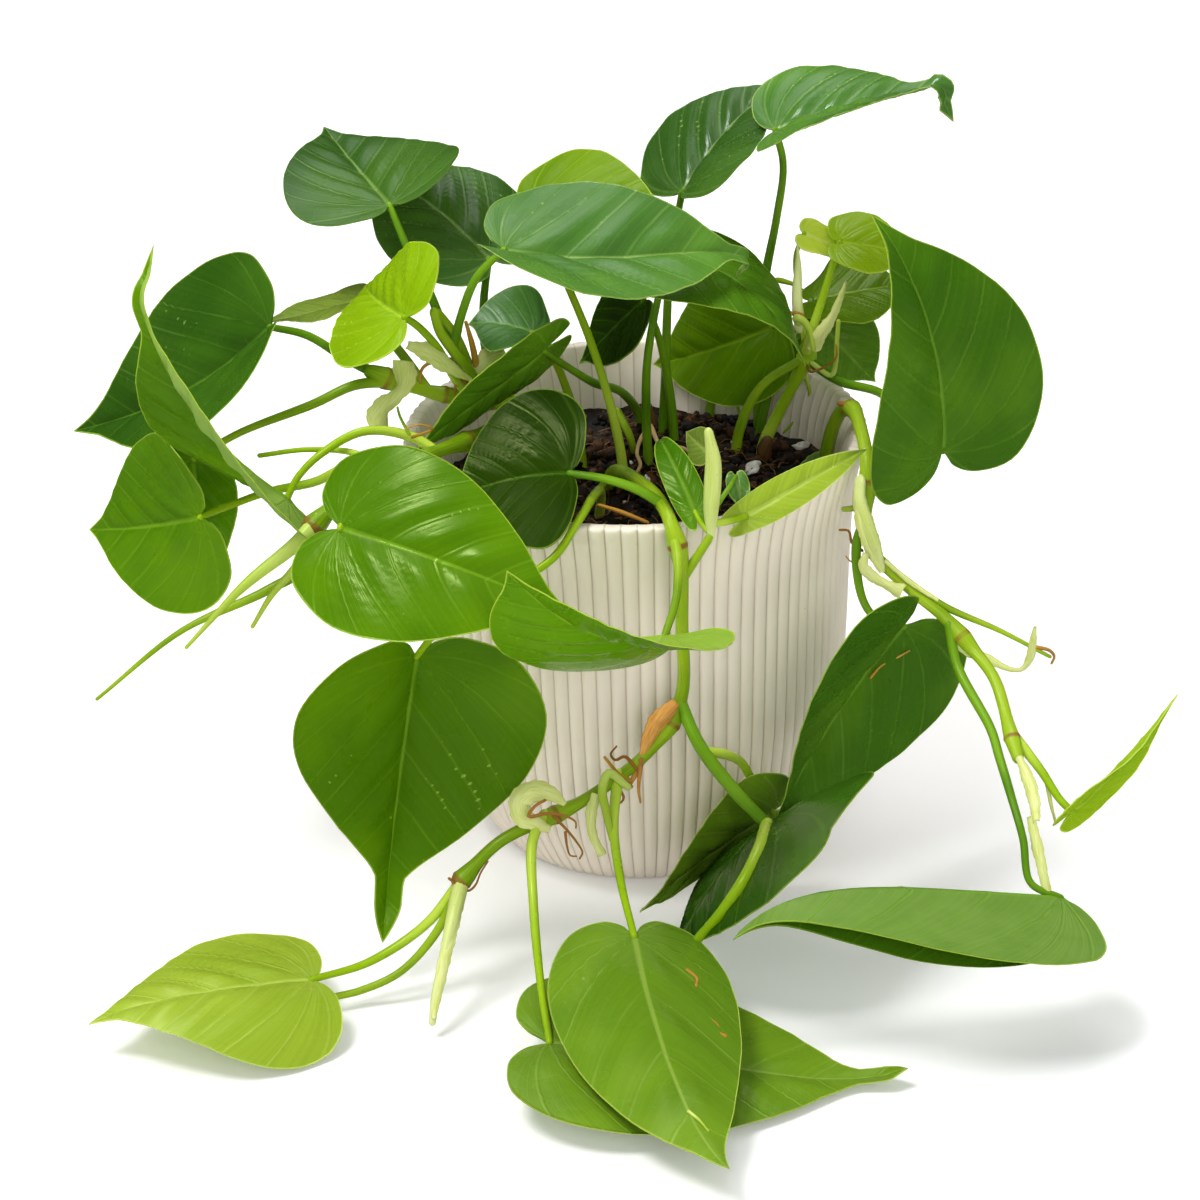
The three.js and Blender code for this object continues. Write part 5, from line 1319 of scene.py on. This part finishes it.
for name, vine in VINES.items():
    soup = Soup()
    tube(soup, vine["path"], vine["radius"], VINE_SKINS.get(name, "green"), vine["swell"], sides=18)
    for twig in vine.get("twigs", []):
        tube(soup, twig["path"], twig["radius"], twig["skin"], sides=12)
    add_details(soup, name)
    soup.piece(name + "_fine", "stem", name)

for name, form in LEAVES.items():
    soup = Soup()
    look = form["look"]
    blade_body(soup, form, (form.get("far_look", look), look, "under_" + look))
    path = [*form["stalk"], form["base"]]
    tube(soup, path, form.get("radius", STALK_RADIUS), STALKS.get(look, "green"), sides=12)
    add_details(soup, "leaf_" + name)
    soup.piece(f"leaf_{name}_fine", "leaf", "leaf_" + name)

for name in SHEATHS:
    soup = Soup()
    add_details(soup, name)
    soup.piece(name + "_fine", "dry_sheath" if name.endswith("dry") else "sheath", name)


# Pot

# Where a reed's cross section has points, as shares of its half width, a groove being at 1
REED = np.array([-1, -0.9, -0.75, -0.5, -0.2, 0.2, 0.5, 0.75, 0.9])
# Rings of the foot and of the lip: their radius and height, and how deep the grooves are at each
FOOT = [(0, 0), (20, 0), (40, 0), (50.2, 0), (52, 0.8), (55, 4.2)]
FOOT_GROOVES = (0, 0, 0, 0.4, 0.8, 1.1)
LIP = [
    (79.7, POT_HEIGHT - 0.4), (79.2, POT_HEIGHT + 0.1), (78.2, POT_HEIGHT + 0.3),
    (76.6, POT_HEIGHT + 0.3), (75.5, POT_HEIGHT + 0.1), (75.1, POT_HEIGHT - 0.5),
]
LIP_GROOVES = (1.1, 0.9, 0.6, 0.4, 0.4, 0.4)
INSIDE_GROOVE = 0.4
POT_BOTTOM = [(30, POT_FLOOR), (0, POT_FLOOR)]


def turned_body(soup, radius, height, angle, skin, maps):
    """A closed body round the Z axis. radius and height have a row per ring, the first and the last
    being points on the axis, and a column per angle."""
    points = np.stack([radius * np.cos(angle), radius * np.sin(angle), height], -1)
    index = np.arange(radius.size).reshape(radius.shape)
    index[0], index[-1] = index[0, 0], index[-1, 0]
    used = np.zeros(radius.size, bool)
    used[index] = True
    renumber = np.cumsum(used) - 1
    loops = renumber[np.column_stack([index, index[:, :1]])]
    faces = quads(loops.tolist())
    maps = {key: rows.reshape(-1, 2)[used] for key, rows in maps.items()}
    soup.add(points.reshape(-1, 3)[used], faces, skin, **maps)


def pot_piece():
    """A reeded wall: rounded reeds with narrow grooves outside, shallow ones inside, a soft lip."""
    outside = spline([(r, 0, z) for r, z in POT_OUTSIDE[1:]], 12)[:-1, (0, 2)]
    inside = spline([(r, 0, z) for r, z in POT_INSIDE], 8)[-2::-1, (0, 2)]
    profile = np.array([*FOOT, *outside, *LIP, *inside, *POT_BOTTOM])
    wall_grooves = np.full(len(outside), RIB_DEPTH)
    inside_grooves = np.full(len(inside), INSIDE_GROOVE)
    bottom_grooves = np.zeros(len(POT_BOTTOM))
    depth = np.concatenate([FOOT_GROOVES, wall_grooves, LIP_GROOVES, inside_grooves, bottom_grooves])
    reeds = np.arange(POT_RIBS)[:, None] + REED / 2
    angle = (reeds.ravel() / POT_RIBS) * 2 * math.pi
    across = np.abs(np.tile(REED, POT_RIBS))
    groove = 0.7 * across**2 + 0.3 * across**8
    radius = np.maximum(profile[:, :1] - depth[:, None] * groove, 0)
    height = np.repeat(profile[:, 1:], len(angle), 1)
    edge = np.stack([groove * (depth > 0)[:, None], height], -1)
    soup = Soup()
    turned_body(soup, radius, height, -angle, "glaze", dict(edge=edge))
    soup.piece("pot_fine", "pot", "pot")


pot_piece()


# Soil

SOIL_RADIUS = 69.6
SOIL_SIDES, SOIL_RINGS = 150, 46
CRUMBS, FIBRES, GRAINS = 1500, 190, 30
CRUMB_MARGIN = 1.5  # from a crumb to the pot, at least
FIBRES_WITHIN, GRAINS_WITHIN = 60, 66  # radii of the round areas on which their middles lie
CRUMB_RISE, GRAIN_RISE = 0.25, 0.5  # how far the middle of one is above the soil, as a share of its size
CRUMB_FLATNESS, GRAIN_FLATNESS, LARGE_GRAIN_FLATNESS = (0.5, 0.9), 0.6, 0.55
LARGE_GRAIN_STRETCH = 1.3
SMALL_CRUMB, LARGE_CRUMB, GRAIN = (0.6, 2.4), (2, 3.6), (0.7, 1.6)  # radii, from and to
FIBRE_REACH, FIBRE_BEND, FIBRE_RADIUS = (2.5, 7), (-2, 2), (0.24, 0.14)
PERLITE = [(40.5, 13, 3.4), (58, 29.5, 2.1), (4, 1, 1.8), (12, 14, 1.4)]  # large grains: x, y, size


def soil_height(x, y):
    """The lumpy top of the soil, in mm."""
    lump = 0.8 * (math.sin(0.21 * x + 1) + math.cos(0.17 * y - 0.06 * x))
    spot = Vector((x * 0.09, y * 0.09, 3.1))
    fine = Vector((x * 0.3, y * 0.3, 7.7))
    return SOIL_LEVEL + lump + 1.8 * noise.noise(spot) + 1.2 * noise.noise(fine)


def crumb(soup, size, flat, place, skin, detail=1, stretch=1.0):
    """An irregular crumb: a dented ball, turned at random."""
    ball = bmesh.new()
    bmesh.ops.create_icosphere(ball, subdivisions=detail, radius=1)
    seed = Vector(rng.uniform(0, 50, 3))
    for p in ball.verts:
        dent = 1 + 0.7 * noise.noise(p.co * 1.3 + seed)
        p.co = Vector((p.co.x * size * stretch, p.co.y * size * 0.75, p.co.z * size * flat)) * dent
    points = np.array([p.co for p in ball.verts])
    faces = [[p.index for p in f.verts] for f in ball.faces]
    ball.free()
    turn = np.array(Matrix.Rotation(rng.uniform(0, 6.3), 3, rng.normal(size=3)))
    soup.add(points @ turn.T + place, faces, skin)


def spot_within(reach):
    """A random spot on the soil, at most reach from the middle."""
    r, a = reach * math.sqrt(rng.uniform(0, 1)), rng.uniform(0, 2 * math.pi)
    return r * math.cos(a), r * math.sin(a)


def soil_fibre(soup, reach, bend):
    """A curled fibre that lies on the soil."""
    (x, y), turn = spot_within(FIBRES_WITHIN), rng.uniform(0, 6.3)
    path = []
    for s in np.linspace(-1, 1, 5):
        aside = bend * (s * s + 0.6 * math.sin(3 * s))
        px = x + reach * s * math.cos(turn) - aside * math.sin(turn)
        py = y + reach * s * math.sin(turn) + aside * math.cos(turn)
        path.append((px, py, soil_height(px, py) + 0.9 + rng.uniform(0.5, 1.6) * (1 - s * s)))
    tube(soup, path, FIBRE_RADIUS, "fibre", sides=5)


def soil_pieces():
    """Peat with crumbs, bark bits, fibres and bits of root on it, and the grains of perlite."""
    soup = Soup()
    angle = np.arange(SOIL_SIDES) / SOIL_SIDES * 2 * math.pi
    radii = np.linspace(0, SOIL_RADIUS, SOIL_RINGS)
    x, y = np.outer(radii, np.cos(angle)), np.outer(radii, np.sin(angle))
    wall = np.array([(r - 0.6, h) for r, h in POT_INSIDE[::-1] if h < SOIL_LEVEL - 20])
    base = np.array([(0, POT_FLOOR + 0.5)])
    rest = np.vstack([wall, base])
    radius = np.repeat(np.vstack([radii[:, None], rest[:, :1]]), SOIL_SIDES, 1)
    height = np.vstack([np.vectorize(soil_height)(x, y), np.repeat(rest[:, 1:], SOIL_SIDES, 1)])
    turned_body(soup, radius, height, angle, "peat", {})
    for k in range(CRUMBS):
        size = rng.uniform(*(SMALL_CRUMB if k % 7 else LARGE_CRUMB))
        x, y = spot_within(SOIL_RADIUS - CRUMB_MARGIN - size)
        skin = "bark" if k % 4 == 1 else "peat"
        place = x, y, soil_height(x, y) + size * CRUMB_RISE
        crumb(soup, size, rng.uniform(*CRUMB_FLATNESS), place, skin)
    for k in range(FIBRES):
        soil_fibre(soup, rng.uniform(*FIBRE_REACH), rng.uniform(*FIBRE_BEND))
    add_details(soup, "soil")
    soup.piece("soil_fine", "soil", "soil")
    grains = Soup()
    for k in range(GRAINS):
        size = rng.uniform(*GRAIN)
        x, y = spot_within(GRAINS_WITHIN)
        place = x, y, soil_height(x, y) + size * GRAIN_RISE
        crumb(grains, size, GRAIN_FLATNESS, place, "perlite", 2)
    for x, y, size in PERLITE:
        place = x, y, soil_height(x, y) + size * GRAIN_RISE
        crumb(grains, size, LARGE_GRAIN_FLATNESS, place, "perlite", 3, LARGE_GRAIN_STRETCH)
    grains.piece("perlite", "soil")


soil_pieces()

# Floor, light and camera. Lengths are in metres here.
FLOOR_CORNERS = [(-3, -3, 0), (3, -3, 0), (3, 5, 0), (-3, 5, 0)]
FLOOR_DROP = 0.0005  # keeps the floor just under the pot's foot
SKY_STRENGTH = 0.6
WHITE = (1, 1, 1, 1)
floor = bpy.data.meshes.new("floor")
floor.from_pydata(FLOOR_CORNERS, [], [(0, 1, 2, 3)])
floor_object = bpy.data.objects.new("floor", floor)
bpy.context.scene.collection.objects.link(floor_object)
floor_object.location.z = -FLOOR_DROP
floor_object.visible_glossy = False


def floor_paint(tree, shader):
    white = (0.93, 0.93, 0.93, 1)
    set_all(shader, Base_Color=white, Roughness=0.7, Specular_IOR_Level=0.2)
    set_all(shader, Emission_Color=white, Emission_Strength=0.13)
    return patches(tree, 4.0), 0.001


floor.materials.append(material("floor", floor_paint))


def area_light(name, place, size, watts, gloss=False):
    """A soft light at place, in metres, aimed at the middle of the plant. It either lights the plant or,
    with gloss, only shows in its sheen."""
    lamp = bpy.data.lights.new(name, "AREA")
    lamp.shape, lamp.size, lamp.energy = "DISK", size, watts
    made = bpy.data.objects.new(name, lamp)
    made.location = place
    made.visible_glossy, made.visible_diffuse = gloss, not gloss
    made.rotation_mode = "QUATERNION"
    made.rotation_quaternion = (Vector((0, -0.03, 0.12)) - made.location).to_track_quat("-Z", "Y")
    bpy.context.scene.collection.objects.link(made)


area_light("key", (-1.0, -0.5, 2.3), 0.9, 38)
area_light("fill", (0.5, -2.4, 1.3), 1.4, 18)
area_light("back", (-0.2, 0.8, 1.9), 1.3, 14)
area_light("sparkle", (-1.0, -0.7, 2.2), 0.5, 20, gloss=True)
area_light("sky", (-0.2, 0.8, 1.9), 0.9, 28, gloss=True)

world = bpy.data.worlds.new("studio")
bpy.context.scene.world = world
world.use_nodes = True
set_all(world.node_tree.nodes["Background"], Color=WHITE, Strength=SKY_STRENGTH)
world.cycles_visibility.glossy = False
bpy.context.scene.view_settings.view_transform = "Standard"
bpy.context.scene.cycles.max_bounces = 4
bpy.context.scene.cycles.diffuse_bounces = 3
bpy.context.scene.cycles.glossy_bounces = 2

# The camera stands AWAY metres from the rim's centre, looks down at it by PITCH and is rolled. Lengths
# in the frame are in pixels: its width, the focal length, and how far the rim's centre is right of and
# above its middle.
RIM = Vector((0, 0, POT_HEIGHT)) * MM
PITCH, ROLL, AWAY = math.radians(24.5), math.radians(1.3), 1.717
FRAME_WIDTH, FOCAL, RIM_RIGHT, RIM_UP = 1200, 5000, 35, 170
ahead = Vector((0, math.cos(PITCH), -math.sin(PITCH)))
right, up = Vector((1, 0, 0)), Vector((0, math.sin(PITCH), math.cos(PITCH)))
camera = bpy.data.objects.new("camera", bpy.data.cameras.new("camera"))
bpy.context.scene.collection.objects.link(camera)
camera.data.sensor_width = 36
camera.data.lens = FOCAL * camera.data.sensor_width / FRAME_WIDTH
camera.data.clip_start, camera.data.clip_end = 0.05, 20
across = right * math.cos(ROLL) - up * math.sin(ROLL)
upward = up * math.cos(ROLL) + right * math.sin(ROLL)
rolled = Matrix([across, upward, -ahead])
offset = Vector((RIM_RIGHT / FOCAL, RIM_UP / FOCAL, -1)).rotation_difference(Vector((0, 0, -1)))
camera.rotation_mode = "QUATERNION"
camera.rotation_quaternion = rolled.transposed().to_quaternion() @ offset
camera.location = RIM - ahead * AWAY
bpy.context.scene.camera = camera
